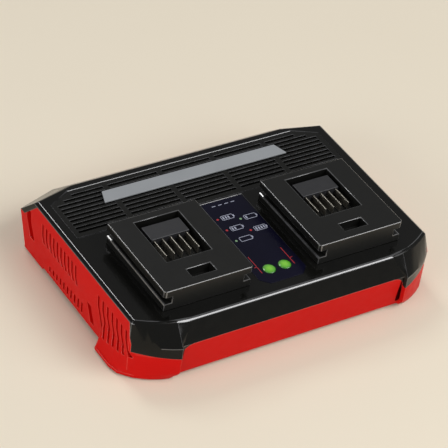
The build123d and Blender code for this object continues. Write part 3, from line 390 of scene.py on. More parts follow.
def dress(node, width, wide=0.0, chosen=shoulder):
    """The finished moulding of one CAD node."""
    bm = merged_copy(node)
    count = soften(bm, wide, chosen) if wide else 0
    count += soften(bm, width)
    piece = keep(bm, node + "_moulding", node)
    print(node, count, "edges softened,", len(piece.data.polygons), "faces")
    return piece


print("edges that turn by more than", sharp_turn, "degrees are softened")

# %% Dress the shells
edge_widths = {"lower_housing": 0.3, "rear_louvre": 0.2, "trim_strip": 0.2,
               "contact_carrier_left": 0.4, "contact_carrier_right": 0.4,
               "contact_blades_left": 0.18, "contact_blades_right": 0.18}
for node, width in edge_widths.items():
    dress(node, width)
dress("top_shell", 0.3, wide=0.7)
for side in ("left", "right"):
    dress(f"dock_{side}", 0.5, wide=1.2, chosen=plinth_edge)

# %% [markdown]
# ## Turned parts
#
# Feet, lenses, bushes, cans and chokes are round, so each is a profile spun once around its axis. The
# profile is a list of radius and height pairs. After the spin its doubled seam and poles are merged,
# and only then are the faces turned outwards.

# %% A spun profile and a second finish


def turned(profile, centre, axis="Z", steps=40):
    """A bmesh of revolution about an axis through a centre, from (radius, height), in millimetres."""
    bm = bmesh.new()
    verts = [bm.verts.new((radius * mm, 0.0, height * mm)) for radius, height in profile]
    edges = [bm.edges.new(pair) for pair in zip(verts, verts[1:])]
    bmesh.ops.spin(bm, geom=verts + edges, cent=(0, 0, 0), axis=(0, 0, 1), angle=2 * pi, steps=steps,
                   use_merge=True, use_duplicate=False, dvec=(0, 0, 0))
    bmesh.ops.remove_doubles(bm, verts=bm.verts, dist=weld)
    bmesh.ops.recalc_face_normals(bm, faces=bm.faces)
    if axis == "Y":
        bmesh.ops.rotate(bm, cent=(0, 0, 0), matrix=Matrix.Rotation(radians(-90), 3, "X"), verts=bm.verts)
    bmesh.ops.translate(bm, vec=Vector(centre) * mm, verts=bm.verts)
    return bm


def paint(piece, finish, test):
    """Gives a second finish, by name, to the faces whose centre in millimetres passes a test."""
    piece.data.materials.append(finishes[finish])
    for face in piece.data.polygons:
        if test(face.center / mm, face.normal):
            face.material_index = len(piece.data.materials) - 1


def node_box(node):
    """Lowest corner, highest corner and middle of a CAD node, in millimetres."""
    low, high = (Vector(corner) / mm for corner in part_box(node))
    return low, high, (low + high) / 2


print("the left dock's middle is at", [round(v, 1) for v in node_box("dock_left")[2]])

# %% [markdown]
# ## Rubber feet and cable gland
#
# The feet are moulded pads with a sunk middle and a ring groove, so that they stand on two narrow rims
# and grip. The gland is a bush with a flange outside the wall and grooves round its sleeve, which let
# it bend.

# %% Feet and gland
foot_profile = [(0, 0.35), (1.7, 0.35), (2.0, 0), (3.4, 0), (3.7, 0.35), (4.3, 0.35), (4.6, 0), (5.5, 0),
                (5.85, 0.2), (6.0, 0.6), (6.0, 2.2), (0, 2.2)]
for number in range(1, 5):
    node = f"rubber_foot_{number}"
    low, middle = node_box(node)[::2]
    pad = turned(foot_profile, (middle.x, middle.y, low.z))
    keep(pad, f"foot_pad_{number}", node)

low, high, middle = node_box("cable_gland")
flange_radius = (high.x - low.x) / 2
sleeve_radius, gland_bore, flange_depth, gland_nose, soft_lip = 6.0, 3.4, 1.8, 0.9, 0.6
groove_count, groove_start, groove_pitch = 4, 2.0, 2.4
groove_depth, groove_slope, groove_end = 0.8, 0.3, 1.3
length = high.y - low.y
gland_profile = [(gland_bore, 0.0), (sleeve_radius - gland_nose, 0.0), (sleeve_radius, gland_nose)]
for groove in range(groove_count):
    start = groove_start + groove * groove_pitch
    gland_profile += [(sleeve_radius, start), (sleeve_radius - groove_depth, start + groove_slope),
                      (sleeve_radius - groove_depth, start + groove_end - groove_slope),
                      (sleeve_radius, start + groove_end)]
gland_profile += [(sleeve_radius, length - flange_depth), (flange_radius, length - flange_depth),
                  (flange_radius, length - soft_lip), (flange_radius - soft_lip, length),
                  (gland_bore + soft_lip, length), (gland_bore, length - soft_lip), (gland_bore, 0.0)]
gland = turned(gland_profile, (middle.x, low.y, middle.z), axis="Y")
keep(gland, "gland_bush", "cable_gland")
print("gland", round(length, 1), "mm long")

# %% [markdown]
# ## Status lights
#
# Each light is a green lens over a light-emitting diode. A lit lens is brightest over the diode and fades
# towards its rim. The distance from the middle is written on the vertices while the lens is built, and the
# material turns it into a painted glow in the base colour, brightest over the diode, and a faint emission
# of the same colour. The domed top is a few rings of one profile.

# %% Lit lens


def lens_glow():
    """Lit green polycarbonate: the diode's light painted into its colour, yellow-green in the middle and
    deeper at the rim, with a faint emission.
    """
    material, tree, shader, place = blank_material("polycarbonate_green_lit")
    rim = add(tree, "Attribute", attribute_name="from_middle")
    haze = add(tree, "TexNoise", {"Vector": place, "Scale": 1 / (1.5 * mm), "Detail": 2.0})
    spread = add(tree, "Math", {0: haze.outputs["Fac"], 1: 0.25, 2: -0.12}, operation="MULTIPLY_ADD")
    painted_glow_fade = add(tree, "Math", {0: rim.outputs["Fac"], 1: spread.outputs[0]}, operation="ADD")
    # Painted glow: the ramp lightens the base colour over the diode, where its light falls, and also drives
    # the emission.
    colour = add(tree, "ValToRGB", {"Fac": painted_glow_fade.outputs[0]})
    stops = colour.color_ramp.elements
    stops.new(0.8)
    for stop, place_on_ramp, code in zip(stops, (0.25, 0.8, 1.0), ("76BE33", "539C2A", "2A6A1E")):
        stop.position = place_on_ramp
        stop.color = linear(code)
    skin = add(tree, "Bump", {"Height": haze.outputs["Fac"], "Distance": 0.01 * mm})
    fill(tree, shader, {"Base Color": colour.outputs["Color"], "Emission Color": colour.outputs["Color"],
                        "Normal": skin.outputs["Normal"], "Emission Strength": 0.06, "Roughness": 0.16,
                        "IOR": 1.58, "Coat Weight": 0.5})
    return material


# The diode takes the same lit material; it has no distance on its vertices, so it is painted at its
# brightest all over.
finishes["lens_green"] = finishes["led_epoxy"] = lens_glow()
stem, flange_thickness = 4.5, 1.2    # radius of the part that shows, and the flange that holds it
diode_profile = [(0, 0), (2.5, 0), (2.5, 0.5), (2.1, 0.6), (2.0, 1.1), (1.4, 1.5), (0, 1.6)]
for side in ("left", "right"):
    node = f"status_lens_{side}"
    low, high, middle = node_box(node)
    flange, tall = (high.x - low.x) / 2, high.z - low.z
    profile = [(0, 0), (flange, 0), (flange, flange_thickness), (stem, flange_thickness),
               (stem, tall - 0.75), (stem - 0.15, tall - 0.5), (stem - 0.7, tall - 0.3),
               (stem * 0.6, tall - 0.12), (stem * 0.3, tall - 0.03), (0, tall)]
    bm = turned(profile, (middle.x, middle.y, low.z), steps=48)
    away = bm.verts.layers.float.new("from_middle")
    for vert in bm.verts:
        vert[away] = min(1.0, (vert.co.xy / mm - middle.xy).length / stem)
    keep(bm, f"lit_lens_{side}", node, smooth=50)
    node = f"status_led_{side}"
    low, middle = node_box(node)[::2]
    bm = turned(diode_profile, (middle.x, middle.y, low.z), steps=32)
    keep(bm, f"diode_{side}", node)
print("two lenses of", 2 * stem, "mm")

# %% [markdown]
# ## Console label
#
# The label is a polyester overlay, glued into a shallow recess. Its surface is smooth with a faint
# orange peel. Its print could be a pattern in the material, but thin bars and discs of ink are simpler
# to place and keep their edges in a close view. They make small battery symbols, each with a coloured
# dot before it, a row of dashes, and a red bracket on each side of the lights.

# %% Overlay film


def overlay_film():
    """Polyester film: near-black blue and glossy, with fine orange peel and faint clouds."""
    material, tree, shader, place = blank_material("polyester_overlay_navy")
    clouds = add(tree, "TexNoise", {"Vector": place, "Scale": 1 / (14 * mm), "Detail": 3.0})
    tone = add(tree, "Mix", {"Factor": clouds.outputs["Fac"], "A": linear("070719"), "B": linear("0B0A1E")},
               data_type="RGBA")
    peel = add(tree, "TexNoise", {"Vector": place, "Scale": 1 / (1.4 * mm), "Detail": 2.0})
    skin = add(tree, "Bump", {"Height": peel.outputs["Fac"], "Distance": 0.006 * mm})
    wipes = add(tree, "MapRange", {"Value": clouds.outputs["Fac"], "From Min": 0.3, "From Max": 0.7,
                                   "To Min": 0.16, "To Max": 0.26})
    fill(tree, shader, {"Base Color": tone.outputs["Result"], "Roughness": wipes.outputs[0],
                        "Normal": skin.outputs["Normal"], "Specular IOR Level": 0.15})
    return material


finishes["label_navy"] = overlay_film()
dress("console_label", 0.12)

# %% Symbols and dashes
label_top = node_box("console_label")[1].z
ink_top = label_top + 0.05
symbol_size = (9.0, 4.2)             # battery symbol, along X and along Y
symbol_line = 0.45
pole_reach, pole_line = 0.6, 0.7
cell_inset, cell_pitch, cell_reach, cell_line = 1.5, 2.0, 0.7, 1.1
dash_count, dash_pitch, dash_length, dash_line, dash_y = 4, 5.0, 2.3, 0.6, 13.2


def bar(bm, start, end, width, base, top):
    """A straight printed or formed bar between two points, in millimetres."""
    start, end = Vector(start), Vector(end)
    run = end - start
    cube = bmesh.ops.create_cube(bm, size=1.0)["verts"]
    size = (run.length + width, width, top - base)
    bmesh.ops.scale(bm, vec=Vector(size) * mm, verts=cube)
    heading = Matrix.Rotation(atan2(run.y, run.x), 3, "Z")
    bmesh.ops.rotate(bm, cent=(0, 0, 0), matrix=heading, verts=cube)
    centre = (start + end) / 2
    bmesh.ops.translate(bm, vec=Vector((centre.x, centre.y, (base + top) / 2)) * mm, verts=cube)


def ink(bm, start, end, width):
    """A printed line on the label."""
    bar(bm, start, end, width, label_top, ink_top)


def battery_symbol(bm, x, y, charge):
    """Outline of a battery with its pole, and a filled part that shows the charge."""
    half_x, half_y = symbol_size[0] / 2, symbol_size[1] / 2
    corners = [(x - half_x, y - half_y), (x + half_x, y - half_y), (x + half_x, y + half_y),
               (x - half_x, y + half_y)]
    for start, end in zip(corners, corners[1:] + corners[:1]):
        ink(bm, start, end, symbol_line)
    pole_x = x + half_x + pole_reach
    ink(bm, (pole_x, y - pole_reach), (pole_x, y + pole_reach), pole_line)
    for step in range(charge):
        cell_x = x - half_x + cell_inset + step * cell_pitch
        ink(bm, (cell_x, y - cell_reach), (cell_x, y + cell_reach), cell_line)


# Middle of each symbol, and how many cells of it are filled.
symbol_rows = [(-3.6, 0.0, 3), (11.6, -5.0, 1), (-3.6, -12.0, 2), (11.6, -18.0, 4), (-3.6, -24.0, 0)]
pale = bmesh.new()
for x, y, charge in symbol_rows:
    battery_symbol(pale, x, y, charge)
for step in range(dash_count):
    dash_x = dash_pitch * (step - (dash_count - 1) / 2)
    ink(pale, (dash_x, dash_y), (dash_x + dash_length, dash_y), dash_line)
keep(pale, "label_symbols", finish="print_pale", slot="label_navy", smooth=30)
print(len(symbol_rows), "battery symbols and", dash_count, "dashes")

# %% Dots and brackets


def add_mesh(bm, other):
    """Moves the faces of one bmesh into another."""
    mesh = bpy.data.meshes.new("part")
    other.to_mesh(mesh)
    other.free()
    bm.from_mesh(mesh)
    bpy.data.meshes.remove(mesh)


dot_rows = {"green": (1, 4), "red": (0, 2, 3)}
dot_radius, dot_thickness = 0.9, ink_top - label_top
dot_gap = 7.6    # from the middle of a symbol to its dot
for colour, rows in dot_rows.items():
    dots = bmesh.new()
    for x, y, charge in (symbol_rows[row] for row in rows):
        add_mesh(dots, turned([(0, 0), (dot_radius, 0), (dot_radius, dot_thickness), (0, dot_thickness)],
                              (x - dot_gap, y, label_top), steps=20))
    keep(dots, "label_dots_" + colour, finish="print_" + colour, slot="label_navy", smooth=30)
brackets = bmesh.new()
bracket_x, bracket_front, bracket_rear, bracket_line = 12.8, -58.8, -41.5, 0.5
tick_y, tick_length = -52.5, 2.0
for side in (-1, 1):
    line, tick_end = side * bracket_x, side * (bracket_x + tick_length)
    ink(brackets, (line, bracket_front), (line, bracket_rear), bracket_line)
    ink(brackets, (line, tick_y), (tick_end, tick_y), bracket_line)
keep(brackets, "label_brackets", finish="print_red", slot="label_navy", smooth=30)
print("dots in", len(dot_rows), "colours and two brackets")

# %% [markdown]
# ## Screws
#
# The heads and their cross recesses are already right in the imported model, so they are kept with
# softened edges, and only the plain shanks are cut off. A thread is one small saw-tooth profile that
# is spun while it climbs: each turn ends where the next begins, so the merged surface is one helix.

# %% One thread
thread_pitch = 1.1
thread_depth = 0.32
thread_steps = 14              # faces in one turn


def thread(x, y, start, end, radius):
    """A screw thread that climbs from one height to a pointed end, in millimetres."""
    way = 1 if end > start else -1
    turns = int((abs(end - start) - radius) / thread_pitch)
    bm = bmesh.new()
    root = (radius - thread_depth) * mm
    rise = way * thread_pitch * mm
    verts = [bm.verts.new(point) for point in ((root, 0, 0), (radius * mm, 0, rise / 2), (root, 0, rise))]
    edges = [bm.edges.new(pair) for pair in zip(verts, verts[1:])]
    bmesh.ops.spin(bm, geom=verts + edges, cent=(0, 0, 0), axis=(0, 0, 1), angle=2 * pi * turns,
                   steps=thread_steps * turns, dvec=(0, 0, rise / thread_steps), use_merge=False,
                   use_duplicate=False)
    bmesh.ops.remove_doubles(bm, verts=bm.verts, dist=weld)
    tip, foot = bm.verts.new((0, 0, (end - start) * mm)), bm.verts.new((0, 0, 0))
    middle = rise * turns / 2
    for edge in [edge for edge in bm.edges if edge.is_boundary]:
        at_tip = (edge.verts[0].co.z + edge.verts[1].co.z - 2 * middle) * way > 0
        bm.faces.new((*edge.verts, tip if at_tip else foot))
    bmesh.ops.recalc_face_normals(bm, faces=bm.faces)
    bmesh.ops.translate(bm, vec=Vector((x, y, start)) * mm, verts=bm.verts)
    return bm


print("a thread climbs", thread_pitch, "mm in", thread_steps, "steps")

# %% Threaded screws
# Each node of screws: height of the head, whether it is on top, and radius of the thread.
screws = {"housing_screws": (2.2, False, 1.45), "dock_screws": (1.6, False, 1.45),
          "board_screws": (1.6, True, 1.35)}


def loose_middles(bm):
    """Middle of the box round each connected part, in millimetres."""
    waiting = set(bm.verts)
    middles = []
    while waiting:
        found = [waiting.pop()]
        for vert in found:
            near = {edge.other_vert(vert) for edge in vert.link_edges} & waiting
            waiting -= near
            found.extend(near)
        ends = [[pick(vert.co[axis] for vert in found) for axis in range(3)] for pick in (min, max)]
        middles.append((Vector(ends[0]) + Vector(ends[1])) / 2 / mm)
    return middles


def threaded_screws(node, head_height, heads_up, radius):
    """All screws of one node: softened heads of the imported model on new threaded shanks."""
    low, high = node_box(node)[:2]
    cut, end = (high.z - head_height, low.z) if heads_up else (low.z + head_height, high.z)
    bm = merged_copy(node)
    places = loose_middles(bm)
    whole = bm.verts[:] + bm.edges[:] + bm.faces[:]
    bmesh.ops.bisect_plane(bm, geom=whole, plane_co=(0, 0, cut * mm),
                           plane_no=(0, 0, -1 if heads_up else 1), clear_outer=True, dist=weld / 4)
    bmesh.ops.holes_fill(bm, edges=[edge for edge in bm.edges if edge.is_boundary])
    soften(bm, 0.15)
    for place in places:
        add_mesh(bm, thread(place.x, place.y, cut, end, radius))
    piece = keep(bm, node + "_threaded", node)
    print(node, len(places), "screws,", len(piece.data.polygons), "faces")


for node, (head_height, heads_up, radius) in screws.items():
    threaded_screws(node, head_height, heads_up, radius)

# %% [markdown]
# ## Circuit boards
#
# A board is glass-epoxy sheet under green solder mask. The copper shows through the mask as slightly
# lighter tracks, here the joints of a brick pattern in two sizes, and the glass weave gives it a fine
# regular ripple. Tracks are drawn a millimetre wide, coarser than real ones, so that they show.

# %% Boards
track_width = 1.0
track_fields = ((17.0, 4.2), (6.5, 11.0))    # how far apart the tracks lie, along X and along Y


def solder_mask():
    """Green mask over copper tracks on glass-epoxy laminate."""
    material, tree, shader, place = blank_material("glass_epoxy_green_mask")
    rows = [add(tree, "TexBrick", {"Vector": place, "Scale": 1.0, "Mortar Size": track_width / 2 * mm,
                                   "Mortar Smooth": 0.1, "Brick Width": width * mm,
                                   "Row Height": height * mm, "Color1": (0, 0, 0, 1),
                                   "Color2": (0, 0, 0, 1), "Mortar": (1, 1, 1, 1)})
            for width, height in track_fields]
    both = add(tree, "Math", {0: rows[0].outputs["Color"], 1: rows[1].outputs["Color"]},
               operation="MAXIMUM")
    patch = add(tree, "TexNoise", {"Vector": place, "Scale": 1 / (12 * mm), "Detail": 1.0})
    shown = add(tree, "MapRange", {"Value": patch.outputs["Fac"], "From Min": 0.45, "From Max": 0.5})
    track = add(tree, "Math", {0: both.outputs[0], 1: shown.outputs[0]}, operation="MULTIPLY")
    tone = add(tree, "Mix", {"Factor": track.outputs[0], "A": linear("1C5A36"), "B": linear("3B8A52")},
               data_type="RGBA")
    weave = add(tree, "TexChecker", {"Vector": place, "Scale": 1 / (0.8 * mm)})
    height = add(tree, "Math", {0: track.outputs[0], 1: 3.0, 2: weave.outputs["Fac"]},
                 operation="MULTIPLY_ADD")
    relief = add(tree, "Bump", {"Height": height.outputs[0], "Distance": 0.01 * mm})
    gloss = add(tree, "MapRange", {"Value": patch.outputs["Fac"], "To Min": 0.28, "To Max": 0.42})
    fill(tree, shader, {"Base Color": tone.outputs["Result"], "Roughness": gloss.outputs[0],
                        "Normal": relief.outputs["Normal"]})
    return material


finishes["board_laminate"] = solder_mask()
for node in ("main_board", "status_board"):
    dress(node, 0.12)

# %% [markdown]
# ## Capacitors
#
# An electrolytic capacitor is a drawn aluminium can in a shrunk plastic sleeve. The sleeve folds over
# the top edge and leaves a bare disc with a scored vent, and a pale stripe marks the negative lead. Can
# and sleeve fit without a gap, so one spun profile makes both, and each face takes its finish by place.

# %% Cans in sleeves
score_width = 0.35


def capacitor(node):
    """A can with its rolled groove, folded sleeve, stripe and scored top."""
    low, high, middle = node_box(node)
    radius, tall = (high.x - low.x) / 2, high.z - low.z
    groove, sunk = 0.14 * tall, 0.09 * radius    # place and depth of the rolled groove
    bare = 0.8 * radius                          # radius of the bare disc
    profile = [(0, 0.3), (radius * 0.7, 0.3), (radius * 0.75, 0), (radius * 0.94, 0), (radius, 0.6),
               (radius, groove - 0.9), (radius - sunk, groove - 0.3), (radius - sunk, groove + 0.3),
               (radius, groove + 0.9), (radius, tall - 0.9), (radius - 0.3, tall - 0.3),
               (radius - 0.9, tall), (bare, tall), (bare - 0.15, tall - 0.2), (0, tall - 0.2)]
    bm = turned(profile, (middle.x, middle.y, low.z), steps=36)
    for heading in (pi / 4, 3 * pi / 4):
        arm = Vector((cos(heading), sin(heading))) * bare * 0.7
        bar(bm, middle.xy - arm, middle.xy + arm, score_width, high.z - 0.25, high.z - 0.08)
    piece = keep(bm, node + "_can", node)
    paint(piece, "sleeve_stripe", lambda place, facing: facing.y < -0.95)
    paint(piece, "capacitor_can", lambda place, facing: place.z > high.z - 0.3
          and (place.xy - middle.xy).length < bare - 0.1)
    paint(piece, "foot_rubber", lambda place, facing: place.z < low.z + 0.4 and facing.z < -0.5)
    print(node, round(2 * radius, 1), "by", round(tall, 1), "mm")


for kind, count in {"output": 4, "bulk": 2}.items():
    for number in range(1, count + 1):
        capacitor(f"{kind}_capacitor_{number}")

# %% [markdown]
# ## Chokes
#
# A choke is an iron-powder ring, painted yellow, with enamelled wire wound through it. One turn of the
# wire is a rounded rectangle about the ring's section. It is copied round the ring by a spin that
# duplicates instead of extruding.

# %% Wire and the line of one turn


def wire(points, radius, closed=False, sides=2):
    """A bmesh of round wire through points, in millimetres, made from a curve with a round bevel."""
    curve = bpy.data.curves.new("wire", "CURVE")
    curve.dimensions = "3D"
    curve.bevel_depth = radius * mm
    curve.bevel_resolution = sides
    curve.use_fill_caps = not closed
    spline = curve.splines.new("POLY")
    spline.points.add(len(points) - 1)
    for slot, point in zip(spline.points, points):
        slot.co = (*(Vector(point) * mm), 1.0)
    spline.use_cyclic_u = closed
    holder = bpy.data.objects.new("wire", curve)
    mesh = bpy.data.meshes.new_from_object(holder)
    bm = bmesh.new()
    bm.from_mesh(mesh)
    bpy.data.objects.remove(holder)
    bpy.data.curves.remove(curve)
    bpy.data.meshes.remove(mesh)
    return bm


def rounded_rectangle(half_width, half_height, corner, steps=4):
    """Corner points of a rounded rectangle about the middle, as pairs."""
    points = []
    for quarter, (sign_x, sign_y) in enumerate(((1, 1), (-1, 1), (-1, -1), (1, -1))):
        for step in range(steps + 1):
            angle = pi / 2 * (quarter + step / steps)
            points.append((sign_x * (half_width - corner) + corner * cos(angle),
                           sign_y * (half_height - corner) + corner * sin(angle)))
    return points


print("a turn has", len(rounded_rectangle(4, 3, 1)), "corners")

# %% Wound rings


def choke(node, wire_radius, turns, open_angle):
    """A wound ring: painted core and one layer of turns with a gap where the wire ends."""
    low, high, middle = node_box(node)
    outer, tall = (high.x - low.x) / 2, high.z - low.z
    skin = 2.2 * wire_radius       # room for the wire round the core
    core_in, core_out, core_low, core_high = outer * 0.45 + skin, outer - skin, skin, tall - skin
    soft = 0.8
    profile = [(core_in + soft, core_low), (core_out - soft, core_low), (core_out, core_low + soft),
               (core_out, core_high - soft), (core_out - soft, core_high), (core_in + soft, core_high),
               (core_in, core_high - soft), (core_in, core_low + soft), (core_in + soft, core_low)]
    core = turned(profile, (middle.x, middle.y, low.z))
    keep(core, node + "_core", node, finish="choke_core")
    ring_middle, half = (core_in + core_out) / 2, (core_out - core_in) / 2 + wire_radius
    section = rounded_rectangle(half, (core_high - core_low) / 2 + wire_radius, 1.6 * wire_radius + 0.4)
    loop = [(ring_middle + a, 0.0, tall / 2 + b) for a, b in section]
    bm = wire(loop, wire_radius, closed=True)
    bmesh.ops.rotate(bm, cent=(0, 0, 0), matrix=Matrix.Rotation(open_angle / 2, 3, "Z"), verts=bm.verts)
    bmesh.ops.spin(bm, geom=bm.verts[:] + bm.edges[:] + bm.faces[:], cent=(0, 0, 0), axis=(0, 0, 1),
                   angle=2 * pi - open_angle, steps=turns - 1, use_duplicate=True, use_merge=False,
                   dvec=(0, 0, 0))
    for way in (-1, 1):
        angle = way * open_angle / 4
        lead = (ring_middle + half) * 0.96
        foot = [(lead * cos(angle), lead * sin(angle), height) for height in (tall / 2, tall / 4, 0.0)]
        add_mesh(bm, wire(foot, wire_radius))
    bmesh.ops.translate(bm, vec=Vector((middle.x, middle.y, low.z)) * mm, verts=bm.verts)
    keep(bm, node + "_winding", node)
    print(node, turns, "turns")


choke("mains_choke", 0.5, 26, radians(36))
for number in (1, 2):
    choke(f"output_choke_{number}", 0.4, 20, radians(40))

# %% [markdown]
# ## Transformers, coolers and boxed parts
#
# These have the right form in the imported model: ferrite frames, taped coils, finned coolers and boxes.
# They get soft edges and their own finishes. Where one node is made of two materials, the faces of the
# second one are picked by their height: the bobbin under the tape, the tabs and legs of the power
# devices. The rectifier and the control chip are new: boxes with soft edges on straight leads.

# %% Dressed parts
bobbin_height = 5.2
device_legs, device_top = 4.9, 15.05     # the epoxy body stands between these heights
plain_edges = {"transformer_core_left": 0.4, "transformer_core_right": 0.4, "primary_heatsink": 0.15,
               "output_heatsink": 0.15, "filter_capacitor": 0.8, "output_relay_1": 0.6,
               "output_relay_2": 0.6, "fan_frame": 0.35, "fan_rotor": 0.15}
for node, width in plain_edges.items():
    dress(node, width)
for side in ("left", "right"):
    coil = dress(f"transformer_coil_{side}", 0.5)
    bobbin_top = node_box(f"transformer_coil_{side}")[0].z + bobbin_height
    paint(coil, "bobbin", lambda place, facing: place.z < bobbin_top)
for name in ("primary", "output"):
    devices = dress(f"{name}_power_devices", 0.15)
    base = node_box(f"{name}_power_devices")[0].z
    paint(devices, "contact_metal",
          lambda place, facing: not device_legs <= place.z - base <= device_top)

# %% Rectifier and control chip


def boxed(low, high, soft=0.0):
    """A bmesh of a box, in millimetres, with its edges bevelled where they are soft."""
    bm = bmesh.new()
    bmesh.ops.create_cube(bm, size=1.0)
    bmesh.ops.scale(bm, vec=(Vector(high) - Vector(low)) * mm, verts=bm.verts)
    bmesh.ops.translate(bm, vec=(Vector(high) + Vector(low)) / 2 * mm, verts=bm.verts)
    if soft:
        soften(bm, soft)
    return bm


low, high, middle = node_box("bridge_rectifier")
lift, lead_count, lead_pitch, lead_width = 3.0, 4, 5.0, 0.8
bm = boxed((low.x, low.y, low.z + lift), high, 0.4)
for lead in range(lead_count):
    foot = (middle.x, middle.y + lead_pitch * (lead - (lead_count - 1) / 2))
    bar(bm, foot, foot, lead_width, low.z, low.z + lift + 0.5)
piece = keep(bm, "bridge_body", "bridge_rectifier")
paint(piece, "contact_metal", lambda place, facing: place.z < low.z + lift - 0.2)

chip_low, chip_high, chip_middle = node_box("control_chip")
chip_leads, chip_pitch, chip_lead_width, chip_lead_top = 11, 0.7, 0.3, chip_low.z + 0.5
lead_reach, lead_in, lead_out, gap_below = 0.9, 4.0, 4.8, 0.15
bm = boxed((chip_low.x + lead_reach, chip_low.y + lead_reach, chip_low.z + gap_below),
           (chip_high.x - lead_reach, chip_high.y - lead_reach, chip_high.z), 0.15)
for lead in range(chip_leads):
    along = (lead - (chip_leads - 1) / 2) * chip_pitch
    for way in (-1, 1):
        start, end = Vector((way * lead_in, along)), Vector((way * lead_out, along))
        for near, far in ((start, end), (start.yx, end.yx)):
            bar(bm, chip_middle.xy + near, chip_middle.xy + far, chip_lead_width, chip_low.z, chip_lead_top)
piece = keep(bm, "control_chip_body", "control_chip")
paint(piece, "contact_metal", lambda place, facing: place.z < chip_lead_top + 0.01
      and (place.xy - chip_middle.xy).length > lead_in - 0.1 and facing.z > -0.5)
print("rectifier with", lead_count, "leads, chip with", 4 * chip_leads)

# %% [markdown]
# ## Terminal block, fuse and small parts
#
# The terminal block is a box whose top and front are divided in three, and each field is inset and
# pushed in: a well for the screw above, and a hole for the wire in front. The fuse is a glass tube
# with metal caps in two clips. Rows of chip resistors stand in front of the control chip.

# %% Terminal block
low, high, middle = node_box("mains_terminal")
ways, well_rim, well_taper, well_depth = 3, 1.0, 0.35, 4.0
bm = boxed(low, high)
across = [edge for edge in bm.edges if abs(edge.verts[0].co.x - edge.verts[1].co.x) > weld]
bmesh.ops.subdivide_edges(bm, edges=across, cuts=ways - 1, use_grid_fill=True)
bm.normal_update()
wells = [face for face in bm.faces if face.normal.z > 0.9 or face.normal.y > 0.9]
bmesh.ops.inset_individual(bm, faces=wells, thickness=well_rim * mm, depth=0.0)
bmesh.ops.inset_individual(bm, faces=wells, thickness=well_taper * mm, depth=-well_depth * mm)
terminal = keep(bm, "terminal_block", "mains_terminal")
paint(terminal, "screw_steel", lambda place, facing: facing.z > 0.9
      and abs(place.z - (high.z - well_depth)) < 0.2)
print("terminal block with", ways, "ways")

# %% Fuse


def fuse_glass():
    """Thin clear glass, faintly green, with slight ripple."""
    material, tree, shader, place = blank_material("fuse_glass")
    ripple = add(tree, "TexNoise", {"Vector": place, "Scale": 1 / (3 * mm), "Detail": 1.0})
    gloss = add(tree, "MapRange", {"Value": ripple.outputs["Fac"], "To Min": 0.02, "To Max": 0.08})
    skin = add(tree, "Bump", {"Height": ripple.outputs["Fac"], "Distance": 0.02 * mm})
    fill(tree, shader, {"Base Color": linear("DCEBE2"), "Roughness": gloss.outputs[0],
                        "Normal": skin.outputs["Normal"], "Transmission Weight": 0.9, "IOR": 1.47})
    return material


finishes["fuse_glass"] = fuse_glass()
low, high, middle = node_box("mains_fuse")
tube_radius, glass_radius, base_height, cap_length, end_gap = 2.4, 2.1, 1.6, 5.0, 1.0
clip_gap, clip_reach, clip_thickness, clip_rise = 0.15, 1.2, 0.35, 0.9
bm = boxed(low, (high.x, high.y, low.z + base_height), 0.3)
keep(bm, "fuse_base", "mains_fuse")
axis_height = high.z - tube_radius - 0.2
fuse_start, length = low.y + end_gap, high.y - low.y - 2 * end_gap
glass = turned([(0, cap_length), (glass_radius, cap_length), (glass_radius, length - cap_length),
                (0, length - cap_length)], (middle.x, fuse_start, axis_height), axis="Y", steps=28)
keep(glass, "fuse_tube", "mains_fuse", finish="fuse_glass", smooth=50)
cap_profile = [(0, 0), (tube_radius - 0.4, 0), (tube_radius, 0.4), (tube_radius, cap_length - 0.2),
               (glass_radius, cap_length), (0, cap_length)]
caps = bmesh.new()
for start in (fuse_start, fuse_start + length - cap_length):
    add_mesh(caps, turned(cap_profile, (middle.x, start, axis_height), axis="Y", steps=28))
    for way in (-1, 1):
        clip_x, clip_y = middle.x + way * (tube_radius + clip_gap), start + cap_length / 2
        bar(caps, (clip_x, clip_y - clip_reach), (clip_x, clip_y + clip_reach), clip_thickness,
            low.z + base_height - 0.3, axis_height + clip_rise)
keep(caps, "fuse_caps", "mains_fuse", slot="contact_metal")
print("fuse", round(length, 1), "mm long")

# %% Chip resistors
random.seed(7)
board_top = node_box("main_board")[1].z
chip_rows, chips_in_row, row_start, row_pitch, row_gap, first_row = 3, 9, -16.0, 4.0, 3.4, -9.5
chip_body, chip_end, left_out = (1.1, 0.6), (1.15, 0.62), 0.2    # width and height; share of bare places
resistors, ends = bmesh.new(), bmesh.new()
for row in range(chip_rows):
    for place in range(chips_in_row):
        x, y = chip_middle.x + row_start + place * row_pitch, chip_middle.y + first_row - row * row_gap
        if random.random() < left_out:
            continue
        half = random.choice((0.8, 1.0))
        bar(resistors, (x, y - half), (x, y + half), chip_body[0], board_top, board_top + chip_body[1])
        for way in (-1, 1):
            end = (x, y + way * (half + chip_end[1]))
            bar(ends, end, end, chip_end[0], board_top, board_top + chip_end[1])
keep(resistors, "chip_resistors", slot="device_epoxy")
keep(ends, "chip_resistor_ends", slot="screw_steel")
print("chip resistors in", chip_rows, "rows")

# %% [markdown]
# ## Wires
#
# Two wires go from the gland to the terminal block, a thin pair runs from the fan to a plug on the
# board, and a flat ribbon joins the small board under the lights to the main one. A wire hangs in soft
# bends: a curve is drawn through a few points, so that it passes each of them without a corner.

# %% Bent wires and plugs
bend_steps = 6


def bent(points):
    """Points of a smooth curve through given points (Catmull and Rom's), in millimetres."""
    points = [Vector(point) for point in points]
    ends = [2 * points[0] - points[1], *points, 2 * points[-1] - points[-2]]
    curve = []
    for a, b, c, d in zip(ends, ends[1:], ends[2:], ends[3:]):
        for step in range(bend_steps):
            t = step / bend_steps
            curve.append(b + (c - a) * t / 2 + (2 * a - 5 * b + 4 * c - d) * t * t / 2
                         + (3 * b - a - 3 * c + d) * t ** 3 / 2)
    return [*curve, points[-1]]


def plug(name, low, high):
    """A white nylon plug on a board."""
    keep(boxed(low, high, 0.4), name, finish="connector_white", slot="terminal_plastic")


